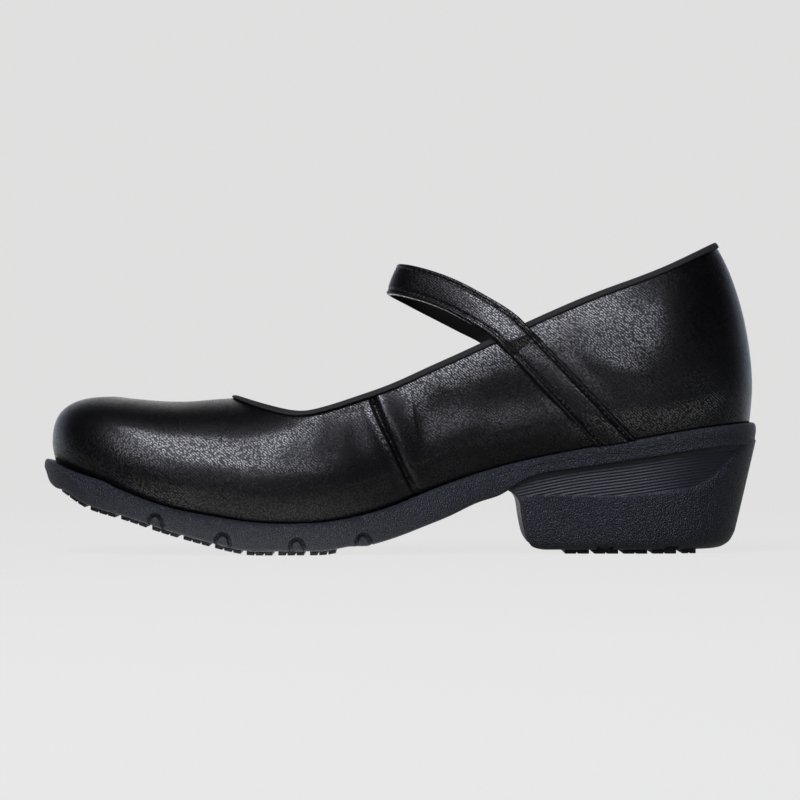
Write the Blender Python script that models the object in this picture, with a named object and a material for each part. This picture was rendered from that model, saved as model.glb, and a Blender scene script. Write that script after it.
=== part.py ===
"""Right work shoe with one instep strap: moulded sole, lasted upper, insole, binding and strap.

Toe towards -X, inner side of the foot towards -Y, +Z up; the origin is on the floor under the middle.
Sizes are in millimetres, with stations counted from the toe tip, and place() turns them into metres.
The tables are drawn for the sample size, and the driving dimensions grade them.
"""

import math
from collections import namedtuple

import bmesh
import bpy
import numpy as np
from mathutils import Vector

# Driving dimensions
SOLE_LENGTH = 262.0
BALL_WIDTH = 91.5
HEEL_HEIGHT = 47.9
INSTEP_RISE = 72.0

# Sample size that the tables are drawn for
LENGTH_GRADE = SOLE_LENGTH / 262.0
WIDTH_GRADE = BALL_WIDTH / 91.5
HEEL_GRADE = HEEL_HEIGHT / 47.9
INSTEP_GRADE = INSTEP_RISE / 72.0

# Wall sizes and clearances
UPPER_WALL = 2.0
GAP = 0.3
INSOLE_THICKNESS = 3.0
INSOLE_MARGIN = 3.4
INSOLE_LIFT = 0.1
MILLIMETRE = 0.001
WELD = 0.00001

# Sections of the last from toe to heel: the widest line on the inner and outer side, the ridge, how square
# the arch between them is, and how the wall tucks in below to the feather edge and the rim stands out from it
Section = namedtuple(
    "Section", "station inner outer ridge_station ridge_offset ridge_rise square belly tuck welt")
LAST = (
    Section(2.9, 4.0, -4.0, 26.0, -4.0, 24.7, 2.75, 7.4, 1.5, 4.4),
    Section(5.3, 16.0, 8.0, 26.5, -4.0, 25.6, 2.75, 7.6, 1.7, 4.3),
    Section(12.0, 26.8, 19.8, 28.5, -4.1, 27.85, 2.70, 8.2, 2.0, 4.0),
    Section(23.0, 35.0, 29.6, 34.0, -4.2, 30.6, 2.60, 9.2, 2.3, 3.6),
    Section(40.0, 41.0, 38.2, 46.0, -4.2, 36.1, 2.40, 10.3, 2.5, 3.3),
    Section(62.0, 44.4, 43.8, 64.0, -4.0, 42.0, 2.20, 11.3, 2.7, 3.1),
    Section(84.0, 45.0, 46.2, 85.0, -3.6, 47.6, 2.05, 12.0, 2.9, 3.0),
    Section(106.0, 42.6, 46.2, 106.0, -3.2, 55.2, 2.00, 12.4, 3.2, 2.9),
    Section(130.0, 37.4, 43.4, 130.0, -2.6, 63.8, 2.00, 12.6, 3.5, 2.8),
    Section(155.0, 33.0, 38.6, 154.0, -2.0, 72.0, 2.00, 12.6, 3.3, 2.7),
    Section(182.0, 31.2, 34.6, 179.0, -1.2, 79.0, 2.00, 12.5, 2.6, 2.6),
    Section(208.0, 31.3, 32.6, 201.0, -0.6, 83.5, 2.00, 12.4, 1.9, 2.5),
    Section(232.0, 29.6, 30.2, 217.0, -0.2, 82.5, 1.96, 12.3, 1.4, 2.4),
    Section(248.5, 22.2, 22.4, 225.0, 0.0, 80.6, 1.90, 12.3, 1.2, 2.4),
    Section(257.5, 12.0, 12.0, 228.0, 0.0, 79.9, 1.86, 12.3, 1.1, 2.4),
    Section(260.7, 0.0, 0.0, 228.5, 0.0, 79.8, 1.86, 12.3, 1.1, 2.4),
)

# Side view lines: the feather edge where upper and sole meet, the tread, and the collar's height above
# the feather edge; then the throat, and how the wall rounds in below its widest line
Line = namedtuple("Line", "station height")
FEATHER = (
    Line(-6.0, 36.6), Line(4.4, 32.6), Line(13.5, 29.2), Line(24.8, 25.6), Line(36.0, 21.2),
    Line(49.7, 16.8), Line(62.0, 14.4), Line(76.0, 12.2), Line(92.0, 11.5), Line(104.0, 12.1),
    Line(115.0, 14.0), Line(128.5, 17.9), Line(140.0, 22.6), Line(150.0, 26.4), Line(160.0, 29.8),
    Line(170.0, 32.6), Line(185.0, 36.0), Line(200.0, 38.8), Line(215.0, 41.3), Line(230.0, 44.0),
    Line(245.0, 46.3), Line(262.0, 47.9), Line(270.0, 48.3),
)
TREAD = (
    Line(-2.0, 28.0), Line(2.2, 25.4), Line(6.6, 22.9), Line(11.0, 20.2), Line(15.5, 17.4),
    Line(20.0, 15.6), Line(31.7, 12.4), Line(42.5, 8.8), Line(53.3, 5.6), Line(64.0, 2.7),
    Line(72.0, 0.8), Line(79.0, -0.2), Line(90.0, -0.4), Line(101.0, -0.2), Line(108.0, 0.8),
    Line(118.3, 3.1), Line(129.0, 6.2), Line(140.0, 10.4), Line(150.8, 14.9), Line(156.2, 17.6),
    Line(161.6, 19.7), Line(167.0, 21.5), Line(172.0, 24.6), Line(178.0, 27.8), Line(190.0, 30.4),
    Line(208.0, 32.9), Line(227.0, 35.8), Line(245.0, 38.3), Line(268.0, 39.9),
)
COLLAR = (
    Line(76.5, 42.6), Line(84.0, 41.0), Line(93.0, 39.6), Line(103.0, 40.7),
    Line(114.0, 42.4), Line(136.0, 43.8), Line(158.0, 45.6), Line(180.0, 49.9), Line(207.0, 56.2),
    Line(229.0, 60.8), Line(246.0, 66.3), Line(262.0, 71.5),
)
THROAT = 70.5
TUCK_ROUND = 1.5

# Side seam between vamp and quarter on the inner side: a valley with a swelling behind it
SEAM_STATION = 129.0
SEAM_HEIGHT = 39.0
SEAM_LEAN = -0.45
SEAM_SPREAD = 15.0
SEAM_FADE_ROWS = 3
Fold = namedtuple("Fold", "behind lift")
SEAM_FOLDS = (
    Fold(-16.0, 0.0), Fold(-8.5, -0.35), Fold(-2.0, -0.7), Fold(0.0, -1.3), Fold(1.8, 0.2), Fold(4.0, 0.5),
    Fold(9.0, 0.0),
)
SEAM_CLEAR_AHEAD = 18.0
SEAM_CLEAR_BEHIND = 11.0

# Sidewall of the sole: how far in from the rim each row lies ahead of the heel and over it, and how far below
# the top or above the base
Wall = namedtuple("Wall", "inset heel_inset below_top above_base")
SIDEWALL = (
    Wall(3.0, 3.0, 0.0, None), Wall(1.5, 1.2, 0.0, None), Wall(0.45, 0.35, 0.5, None),
    Wall(0.0, 0.0, 1.7, None), Wall(1.1, 0.35, None, 2.2), Wall(1.8, 0.6, None, 0.7),
    Wall(3.4, 3.4, None, 0.0),
)
HEEL_BAND_START = 166.0
HEEL_BAND_FULL = 176.0
LUG_HEIGHT = 1.5
Lugged = namedtuple("Lugged", "begin full hold end")
LUGGED = Lugged(5.0, 9.0, 112.0, 119.0)

# Heel block: its breast and the ledge over it in side view, the height of its ribbed panel below the ledge,
# and the rounding of its bottom edge
BREAST = (
    Line(187.0, 1.0), Line(183.0, 1.5), Line(179.8, 2.2), Line(178.0, 3.4), Line(176.6, 5.6),
    Line(175.5, 9.2), Line(174.8, 12.8), Line(174.3, 16.4), Line(173.4, 20.0), Line(171.4, 22.2),
    Line(168.0, 24.0), Line(164.0, 26.0),
)
PANEL = (
    Line(160.0, 5.5), Line(174.0, 7.3), Line(186.5, 9.5), Line(199.5, 12.0), Line(219.0, 14.2),
    Line(237.0, 14.6), Line(245.0, 13.0), Line(251.5, 7.0), Line(256.0, 1.5), Line(262.0, -0.5),
    Line(270.0, -1.0),
)
LEDGE = (
    Line(160.0, 23.6), Line(174.7, 27.0), Line(180.6, 28.3), Line(192.8, 30.8), Line(212.0, 33.5),
    Line(231.2, 36.4), Line(254.4, 39.2), Line(270.0, 40.2),
)
HEEL_FRONT = 174.0
HEEL_STEP_IN = 1.9
HEEL_BACK_FLUSH = 1.6
HEEL_SIDE_TAPER = 0.10
HEEL_BACK_TAPER = 0.235
HEEL_TOP_OVERLAP = 1.5
BREAST_HOLLOW = 2.5
BREAST_SHARE = 0.3
PANEL_DEPTH = 0.8
PANEL_EDGE = 3.0
RIB_COUNT = 13
RIB_PITCH = 1.1
RIB_START = 1.0
RIB_DEPTH = 0.3
Round = namedtuple("Round", "height inset")
HEEL_FOOT = (Round(8.0, 0.0), Round(4.5, 0.5), Round(2.7, 1.4), Round(1.8, 2.6), Round(1.5, 4.0))

# Tread lugs in straight rows across the forefoot and the heel
Lugs = namedtuple("Lugs", "first pitch length rows across margin")
FOREFOOT_LUGS = Lugs(7.1, 11.4, 9.3, 9, 5, 4.2)
HEEL_LUGS = Lugs(190.8, 10.6, 8.8, 4, 4, 9.4)
BACK_LUGS = Lugs(233.6, 10.6, 5.2, 1, 3, 10.4)
LUG_CHANNEL = 2.0
LUG_ROOT = 0.9

# Arched grooves in the forefoot sidewall, each round a small pillar
ARCH_STATIONS = (43.2, 67.6, 94.8, 118.8)
ARCH_OUTER = 2.9
ARCH_INNER = 1.4
ARCH_RISE = 1.8
ARCH_DEPTH = 1.5
ARCH_FOOT_INSET = 1.4
ARCH_LEG_REACH = 2.0
ARCH_CLEAR = 3.0
ARCH_STEPS = 8

# Binding folded over the collar edge
BINDING_LEG = 1.5
BINDING_THICKNESS = 0.7
BINDING_INNER_GAP = 0.6
BINDING_SHOULDER = 0.55
BINDING_SHOULDER_RISE = 0.8

# Strap: its run down the quarter, its free loop over the instep, and its band
STRAP_WIDTH = 12.0
STRAP_RISE = 1.5
STRAP_RISE_END = 9.0
STRAP_RISE_RUN = 5.0
STRAP_FOOT_GAP = 0.6
STRAP_LONGEST_RUN = 90.0
STRAP_APEX_WIDTH = Vector((0.36, 0.0, 0.93))
Run = namedtuple("Run", "top_station top_height low_station low_height")
INNER_RUN = Run(170.2, 81.2, 209.5, 40.4)
OUTER_RUN = Run(167.0, 80.0, 204.0, 39.6)
Loop = namedtuple("Loop", "station offset height")
STRAP_LOOP = (
    Loop(160.0, -23.6, 88.2), Loop(150.4, -18.0, 93.6), Loop(139.4, -11.2, 98.0),
    Loop(131.6, -4.4, 100.0), Loop(129.5, 1.6, 100.0), Loop(132.8, 8.2, 98.2),
    Loop(140.6, 15.0, 94.2), Loop(150.2, 21.4, 89.2), Loop(159.4, 27.4, 84.4),
)
Band = namedtuple("Band", "across under over")
STRAP_BAND = (
    Band(-1.0, 0.5, 0.9), Band(-0.86, 0.0, 2.0), Band(0.0, 0.0, 2.0), Band(0.86, 0.0, 2.0),
    Band(1.0, 0.5, 0.9),
)

# Mesh density
TOE_COLUMNS = 13
REAR_COLUMNS = 24
THROAT_COLUMNS = 5
THROAT_RUN = 7.0
WALL_ROWS = (0.0, 0.45, 1.0)
ARCH_ROWS = 8
SOLE_COLUMNS = 50
HEEL_COLUMNS = 13
BREAST_COLUMNS = 5
INSOLE_COLUMNS = 26
STRAP_RUN_ROWS = 9
STRAP_LOOP_ROWS = 24

# Steps of the searches, and how near the ridge a normal is read
HALVINGS = 40
SETTLING_ROUNDS = 12
NEAR_RIDGE = 1.985
SAME_TURN = 1e-6


def smooth(knots, values):
    """Cubic curve through a table's rows, with straight ends."""
    knots = np.array(knots, float)
    values = np.array(values, float)
    step = np.diff(knots)
    slope = np.diff(values) / step
    count = len(knots)
    matrix = np.eye(count)
    bend = np.zeros(count)
    for row in range(1, count - 1):
        matrix[row, row - 1:row + 2] = step[row - 1], 2 * (step[row - 1] + step[row]), step[row]
        bend[row] = 6 * (slope[row] - slope[row - 1])
    bend = np.linalg.solve(matrix, bend)

    def curve(at):
        at = min(max(at, knots[0]), knots[-1])
        span = min(max(int(np.searchsorted(knots, at)) - 1, 0), count - 2)
        width = step[span]
        left = at - knots[span]
        right = knots[span + 1] - at
        cubic = (bend[span] * right ** 3 + bend[span + 1] * left ** 3) / (6 * width)
        start = (values[span] / width - bend[span] * width / 6) * right
        end = (values[span + 1] / width - bend[span + 1] * width / 6) * left
        return float(cubic + start + end)

    return curve


def side_line(rows, grade):
    """Side view line through a table, graded in length and height."""
    return smooth([row.station * LENGTH_GRADE for row in rows], [row.height * grade for row in rows])


def solve(function, low, high, target=0.0):
    """Where a rising function reaches the target between two limits."""
    for _ in range(HALVINGS):
        middle = (low + high) / 2
        if function(middle) < target:
            low = middle
        else:
            high = middle
    return (low + high) / 2


def section_turns():
    """Distance of each section along the widest line from the toe, as the mean of both sides."""
    turns = [0.0]
    for near, far in zip(LAST, LAST[1:]):
        along = (far.station - near.station) * LENGTH_GRADE
        inner = math.hypot(along, (far.inner - near.inner) * WIDTH_GRADE)
        outer = math.hypot(along, (far.outer - near.outer) * WIDTH_GRADE)
        turns.append(turns[-1] + (inner + outer) / 2)
    return turns


TURNS = section_turns()
HALF_TURN = TURNS[-1]
WRAP_ROWS = 6


def around(inner, outer):
    """Closed curve round the shoe: turn 0 is the toe, turns below 0 the inner side, above 0 the outer."""
    last = len(TURNS) - 1
    knots = []
    values = []
    for row in range(-last - WRAP_ROWS, last + WRAP_ROWS + 1):
        lap = int(math.copysign(2 * last, row)) if abs(row) > last else 0
        folded = row - lap
        side = inner if folded < 0 else outer
        whole_turn = math.copysign(2 * HALF_TURN, row) if lap else 0.0
        knots.append(math.copysign(TURNS[abs(folded)], folded) + whole_turn)
        values.append(side[abs(folded)])
    return smooth(knots, values)


def even(name, grade=1.0):
    """Closed curve of a section column that is the same on both sides."""
    column = [getattr(row, name) * grade for row in LAST]
    return around(column, column)


wide_station = even("station", LENGTH_GRADE)
wide_offset = around([-row.inner * WIDTH_GRADE for row in LAST], [row.outer * WIDTH_GRADE for row in LAST])
ridge_station = even("ridge_station", LENGTH_GRADE)
ridge_offset = even("ridge_offset", WIDTH_GRADE)
ridge_rise = even("ridge_rise", INSTEP_GRADE)
square = even("square")
belly = even("belly", INSTEP_GRADE)
tuck = even("tuck")
welt = even("welt")
feather = side_line(FEATHER, HEEL_GRADE)
tread_curve = side_line(TREAD, HEEL_GRADE)
panel_height = side_line(PANEL, HEEL_GRADE)
ledge = side_line(LEDGE, HEEL_GRADE)
breast_station = smooth(
    [row.height * HEEL_GRADE for row in BREAST], [row.station * LENGTH_GRADE for row in BREAST])
throat_turn = solve(ridge_station, 0.0, HALF_TURN, THROAT * LENGTH_GRADE)
seam_turn = solve(wide_station, 0.0, HALF_TURN, SEAM_STATION * LENGTH_GRADE)
seam_lift = smooth([fold.behind for fold in SEAM_FOLDS], [fold.lift for fold in SEAM_FOLDS])


def outward(turn):
    """Direction square to the widest line in plan, away from the foot."""
    step = 0.05
    along = wide_station(turn + step) - wide_station(turn - step)
    across = wide_offset(turn + step) - wide_offset(turn - step)
    return Vector((-across, along)).normalized()


def outline(turn, out):
    """Point in plan at a distance outside the widest line."""
    return Vector((wide_station(turn), wide_offset(turn))) + outward(turn) * out


def rim(turn, inset):
    """Point in plan at a distance inside the sole's rim."""
    return outline(turn, welt(turn) - tuck(turn) - inset)


def last_point(turn, level):
    """Outer face of the upper: level 0 at the feather edge, 1 at the widest line, 2 on the ridge."""
    foot = feather(outline(turn, -tuck(turn)).x)
    if level <= 1.0:
        plan = outline(turn, -tuck(turn) * (1.0 - level) ** TUCK_ROUND)
        return Vector((plan.x, plan.y, foot + belly(turn) * level))
    angle = min((level - 1.0) * math.pi / 2, math.pi / 2)
    power = 2.0 / square(turn)
    out = max(math.cos(angle), 0.0) ** power
    up = math.sin(angle) ** power
    wide = outline(turn, 0.0)
    top = Vector((ridge_station(turn), ridge_offset(turn)))
    plan = top + (wide - top) * out
    return Vector((plan.x, plan.y, foot + belly(turn) + (ridge_rise(turn) - belly(turn)) * up))


def collar_line():
    """Collar's height above the feather edge, starting from the ridge at the throat."""
    throat = last_point(throat_turn, 2.0)
    stations = [throat.x] + [row.station * LENGTH_GRADE for row in COLLAR]
    return smooth(stations, [throat.z - feather(throat.x)] + [row.height * INSTEP_GRADE for row in COLLAR])


collar_rise = collar_line()


def last_normal(turn, level):
    """Direction out of the upper's outer face."""
    step = 0.02
    low = max(level - step, 0.0)
    high = min(level + step, NEAR_RIDGE)
    along = last_point(turn + 0.3, level) - last_point(turn - 0.3, level)
    up = last_point(turn, high) - last_point(turn, low)
    return up.cross(along).normalized()


def collar_level(turn):
    """Level of the collar's cut edge; ahead of the throat the wall runs on to the ridge."""
    if abs(turn) <= throat_turn + SAME_TURN:
        return 2.0

    def above(level):
        point = last_point(turn, level)
        return point.z - feather(point.x) - collar_rise(point.x)

    return solve(above, 1.02, 2.0)


def tread(station):
    """Height of the walking face, flat where it meets the floor."""
    return max(tread_curve(station), 0.0)


def base(station):
    """Height of the sole between its lugs."""
    sample = station / LENGTH_GRADE
    begin = (sample - LUGGED.begin) / (LUGGED.full - LUGGED.begin)
    end = (LUGGED.end - sample) / (LUGGED.end - LUGGED.hold)
    return tread(station) + LUG_HEIGHT * min(max(min(begin, end), 0.0), 1.0)


def rim_turn(station, inset):
    """Turn at which the inset rim reaches a station."""
    return solve(lambda turn: rim(turn, inset).x, 0.0, HALF_TURN, station)


def middle_of_rim():
    """Middle of the rim's width, where the origin goes."""
    turns = np.linspace(0.0, HALF_TURN, 400)
    inner = min(rim(-turn, 0.0).y for turn in turns)
    outer = max(rim(turn, 0.0).y for turn in turns)
    return (inner + outer) / 2


CENTRE = Vector((SOLE_LENGTH / 2, middle_of_rim(), 0.0))


def place(point):
    """Blender's place, in metres, of a point of the drawing."""
    return (Vector(point) - CENTRE) * MILLIMETRE


def add_object(name, bm):
    """New object from a closed mesh."""
    bmesh.ops.remove_doubles(bm, verts=bm.verts, dist=WELD)
    bmesh.ops.dissolve_degenerate(bm, edges=bm.edges, dist=WELD)
    bmesh.ops.recalc_face_normals(bm, faces=bm.faces)
    mesh = bpy.data.meshes.new(name)
    bm.to_mesh(mesh)
    bm.free()
    shaped = bpy.data.objects.new(name, mesh)
    bpy.context.scene.collection.objects.link(shaped)
    return shaped


def shaped_grid(columns, rows, point):
    """Grid whose corners go where point(column, row) says; edges that meet are welded later."""
    bm = bmesh.new()
    bmesh.ops.create_grid(bm, x_segments=columns - 1, y_segments=rows - 1, size=1.0)
    for corner in bm.verts:
        column = round((corner.co.x + 1.0) / 2 * (columns - 1))
        row = round((corner.co.y + 1.0) / 2 * (rows - 1))
        corner.co = place(point(column, row))
    return bm


def tube(name, rings, capped):
    """Solid through a row of closed rings, with flat ends when they are capped."""
    count = len(rings[0])
    bm = shaped_grid(len(rings), count + 1, lambda column, row: rings[column][row % count])
    bmesh.ops.remove_doubles(bm, verts=bm.verts, dist=WELD)
    if capped:
        open_edges = [edge for edge in bm.edges if edge.is_boundary]
        bmesh.ops.holes_fill(bm, edges=open_edges, sides=0)
    return add_object(name, bm)


def eased(count):
    """Shares from 0 to 1, closer together at both ends."""
    return [(1.0 - math.cos(math.pi * step / count)) / 2 for step in range(count + 1)]


def collar_columns(is_inner):
    """Turns of the wall's columns from the throat to the heel's back, with the seam's on the inner side."""
    start = throat_turn + THROAT_RUN
    rear = [throat_turn + THROAT_RUN * (step / THROAT_COLUMNS) ** 2 for step in range(THROAT_COLUMNS)]
    rear += [start + (HALF_TURN - start) * share for share in eased(REAR_COLUMNS)]
    if not is_inner:
        return rear
    clear = [turn for turn in rear if not -SEAM_CLEAR_AHEAD < turn - seam_turn < SEAM_CLEAR_BEHIND]
    folds = [seam_turn + fold.behind for fold in SEAM_FOLDS]
    return [-turn for turn in sorted(clear + folds, reverse=True)]


def wall_place(turn, row):
    """Turn, level and lift of a grid corner; columns near the seam lean with it."""
    share = (row - len(WALL_ROWS) + 1) / ARCH_ROWS
    behind = -turn - seam_turn

    def level_at(where):
        return WALL_ROWS[row] if share <= 0.0 else 1.0 + (collar_level(where) - 1.0) * share

    if turn > -throat_turn - SAME_TURN:
        return turn, level_at(turn), 0.0
    lean = math.exp(-(behind / SEAM_SPREAD) ** 2) * SEAM_LEAN
    leaned = turn - lean * (last_point(turn, level_at(turn)).z - SEAM_HEIGHT)
    near_seam = SEAM_FOLDS[0].behind < behind < SEAM_FOLDS[-1].behind
    fade = min((1.0 - share) * ARCH_ROWS / SEAM_FADE_ROWS, 1.0)
    return leaned, level_at(leaned), seam_lift(behind) * fade if near_seam else 0.0


def wall_point(turn, row):
    """Corner of the upper's outer face."""
    turn, level, lift = wall_place(turn, row)
    return last_point(turn, level) + last_normal(turn, level) * lift


def build_upper():
    """Lasted shell of vamp and quarter, with the side seam as a fold in its wall."""
    front = [throat_turn * step / TOE_COLUMNS for step in range(1 - TOE_COLUMNS, TOE_COLUMNS)]
    turns = collar_columns(True) + front + collar_columns(False)
    rows = len(WALL_ROWS) + ARCH_ROWS
    shell = shaped_grid(len(turns), rows, lambda column, row: wall_point(turns[column], row))
    upper = add_object("upper", shell)
    wall = upper.modifiers.new("wall", "SOLIDIFY")
    wall.thickness = UPPER_WALL * MILLIMETRE
    wall.offset = -1.0
    wall.use_even_offset = True
    wall.use_rim = True
    return upper


def sole_ring(turn):
    """Closed section of the sole from the inner rim, under the foot, to the outer rim and back on top."""
    sides = []
    for side in (-1, 1):
        rows = []
        station = rim(side * turn, 0.0).x / LENGTH_GRADE
        heel_share = min(max((station - HEEL_BAND_START) / (HEEL_BAND_FULL - HEEL_BAND_START), 0.0), 1.0)
        for wall in SIDEWALL:
            plan = rim(side * turn, wall.inset + (wall.heel_inset - wall.inset) * heel_share)
            top = feather(plan.x) - GAP
            height = top - wall.below_top if wall.above_base is None else base(plan.x) + wall.above_base
            rows.append(Vector((plan.x, plan.y, height)))
        sides.append(rows)
    inner, outer = sides
    under = (inner[-1] + outer[-1]) / 2
    over = (inner[0] + outer[0]) / 2
    under.z = base(under.x)
    over.z = feather(over.x) - GAP
    return inner + [under] + outer[::-1] + [over]


def heel_layers():
    """Layers of the heel block from inside the sole to its lugs."""
    Layer = namedtuple("Layer", "drop level height rib foot")
    layers = [Layer(-HEEL_TOP_OVERLAP, 0.0, 0.0, 0.0, 0.0), Layer(0.4, 0.0, 0.0, 0.0, 0.0)]
    for rib in range(RIB_COUNT):
        drop = RIB_START + RIB_PITCH * rib
        layers.append(Layer(drop, 0.0, 0.0, 1.0, 0.0))
        layers.append(Layer(drop + RIB_PITCH / 2, 0.0, 0.0, 0.0, 0.0))
    last_drop = RIB_START + RIB_PITCH * RIB_COUNT
    layers.append(Layer(last_drop, 0.0, 0.0, 0.0, 0.0))
    layers.append(Layer(last_drop, 0.5, HEEL_FOOT[0].height, 0.0, 0.0))
    layers.extend(Layer(last_drop, 1.0, foot.height, 0.0, foot.inset) for foot in HEEL_FOOT)
    return layers


def heel_loop(layer):
    """Outline of the heel block at one layer: inner side, back, outer side and breast."""

    def height(station):
        sloped = ledge(station) - layer.drop
        return sloped + (layer.height - sloped) * layer.level

    front = HEEL_FRONT * LENGTH_GRADE
    for _ in range(SETTLING_ROUNDS):
        front = (front + breast_station(height(front))) / 2

    def side_point(side, share):
        start = rim_turn(front, HEEL_STEP_IN)
        turn = side * (start + (HALF_TURN - start) * share)
        back = abs(outward(turn).x)
        station = rim(turn, HEEL_STEP_IN).x
        taper = HEEL_SIDE_TAPER + (HEEL_BACK_TAPER - HEEL_SIDE_TAPER) * back
        inset = HEEL_STEP_IN - HEEL_BACK_FLUSH * back + layer.foot * (1.0 + back)
        inset += taper * (ledge(station) - height(station))
        covered = min(max((panel_height(station) - layer.drop) / PANEL_EDGE, 0.0), 1.0)
        if layer.level == 0.0 and layer.drop > 0.0:
            inset += covered * (PANEL_DEPTH + RIB_DEPTH * layer.rib)
        plan = rim(turn, inset)
        plan.x = max(plan.x, front) if share < BREAST_SHARE else plan.x
        return Vector((plan.x, plan.y, height(plan.x)))

    shares = [math.sin(math.pi / 2 * step / HEEL_COLUMNS) for step in range(HEEL_COLUMNS + 1)]
    inner = [side_point(-1, share) for share in shares]
    outer = [side_point(1, share) for share in shares[:-1]]
    breast = []
    for step in range(1, BREAST_COLUMNS):
        share = step / BREAST_COLUMNS
        point = outer[0].lerp(inner[0], share)
        point.x += BREAST_HOLLOW * (1.0 - (2.0 * share - 1.0) ** 2)
        point.z = height(point.x)
        breast.append(point)
    return inner + outer[::-1] + breast


def lug_block(bm, corners, roots):
    """One tread block, its foot at the corners and its root sunk in the sole."""
    made = bmesh.ops.create_cube(bm, size=1.0)
    for corner in made["verts"]:
        index = (corner.co.x > 0.0) * 2 + (corner.co.y > 0.0)
        corner.co = place(roots[index] if corner.co.z > 0.0 else corners[index])


def build_lugs():
    """Tread blocks in rows; each row runs from edge to edge, and the end blocks follow the outline."""
    bm = bmesh.new()
    for lugs, is_heel in ((FOREFOOT_LUGS, False), (HEEL_LUGS, True), (BACK_LUGS, True)):
        for row in range(lugs.rows):
            start = (lugs.first + lugs.pitch * row) * LENGTH_GRADE
            ends = (start, start + lugs.length)
            for block in range(lugs.across):
                corners = []
                roots = []
                for station in ends:
                    turn = rim_turn(station, lugs.margin)
                    low = rim(-turn, lugs.margin).y
                    high = rim(turn, lugs.margin).y
                    for side in (0, 1):
                        offset = low + (high - low) * (block + side) / lugs.across
                        offset += LUG_CHANNEL / 2 * (1 - 2 * side)
                        floor = 0.0 if is_heel else tread(station)
                        root = LUG_HEIGHT + LUG_ROOT if is_heel else base(station) + LUG_ROOT
                        corners.append((station, offset, floor))
                        roots.append((station, offset, root))
                lug_block(bm, corners, roots)
    return add_object("lug_blocks", bm)


def build_arches():
    """Cutters for the arched grooves of the sidewall, square to the tread where they stand."""
    bm = bmesh.new()
    for station in ARCH_STATIONS:
        for side in (-1, 1):
            turn = side * rim_turn(station * LENGTH_GRADE, ARCH_FOOT_INSET)
            foot = rim(turn, ARCH_FOOT_INSET)
            out = outward(turn).to_3d()
            along = Vector((0.0, 0.0, 1.0)).cross(out) * side
            rise = base(foot.x + 1.0) - base(foot.x - 1.0)
            along = (along + Vector((0.0, 0.0, rise / 2 * math.copysign(1.0, along.x)))).normalized()
            up = out.cross(along).normalized()
            up = up if up.z > 0.0 else -up
            centre = Vector((foot.x, foot.y, base(foot.x))) + up * ARCH_RISE
            steps = [(math.pi * step / ARCH_STEPS - math.pi / 2, 0.0) for step in range(ARCH_STEPS + 1)]
            leg = -ARCH_RISE - ARCH_LEG_REACH
            legs = [(steps[0][0], leg)] + steps + [(steps[-1][0], leg)]
            section = (
                (ARCH_INNER, -ARCH_DEPTH), (ARCH_OUTER, -ARCH_DEPTH), (ARCH_OUTER, ARCH_CLEAR),
                (ARCH_INNER, ARCH_CLEAR),
            )
            rings = []
            for angle, sink in legs:
                ring = []
                for radius, reach in section:
                    across = along * math.sin(angle) * radius
                    height = up * (math.cos(angle) * radius + sink)
                    ring.append(centre + across + height + out * reach)
                rings.append(ring)
            piece = shaped_grid(len(rings), 5, lambda column, row: rings[column][row % 4])
            bmesh.ops.remove_doubles(piece, verts=piece.verts, dist=WELD)
            bmesh.ops.holes_fill(piece, edges=[edge for edge in piece.edges if edge.is_boundary], sides=0)
            mesh = bpy.data.meshes.new("arch")
            piece.to_mesh(mesh)
            piece.free()
            bm.from_mesh(mesh)
            bpy.data.meshes.remove(mesh)
    return add_object("arch_grooves", bm)


def combine(target, tool, operation):
    """Exact Boolean of a hidden tool on a solid."""
    tool.hide_render = True
    tool.display_type = "WIRE"
    cut = target.modifiers.new(tool.name, "BOOLEAN")
    cut.operation = operation
    cut.solver = "EXACT"
    cut.object = tool


def build_outsole():
    """Unit sole: sole plate, heel block and tread in one moulding."""
    turns = [HALF_TURN * share for share in eased(SOLE_COLUMNS)]
    outsole = tube("outsole", [sole_ring(turn) for turn in turns], False)
    heel = tube("heel_block", [heel_loop(layer) for layer in heel_layers()], True)
    combine(outsole, heel, "UNION")
    combine(outsole, build_lugs(), "UNION")
    combine(outsole, build_arches(), "DIFFERENCE")
    return outsole


def build_insole():
    """Sock board inside the upper."""
    rings = []
    for share in eased(INSOLE_COLUMNS):
        turn = HALF_TURN * share
        ring = []
        for side, low_first in ((-1, True), (1, False)):
            plan = outline(side * turn, -tuck(turn) - INSOLE_MARGIN)
            low = Vector((plan.x, plan.y, feather(plan.x) + INSOLE_LIFT))
            high = Vector((plan.x, plan.y, low.z + INSOLE_THICKNESS))
            ring.extend((low, high) if low_first else (high, low))
        rings.append(ring)
    return tube("insole", rings, False)


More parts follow.
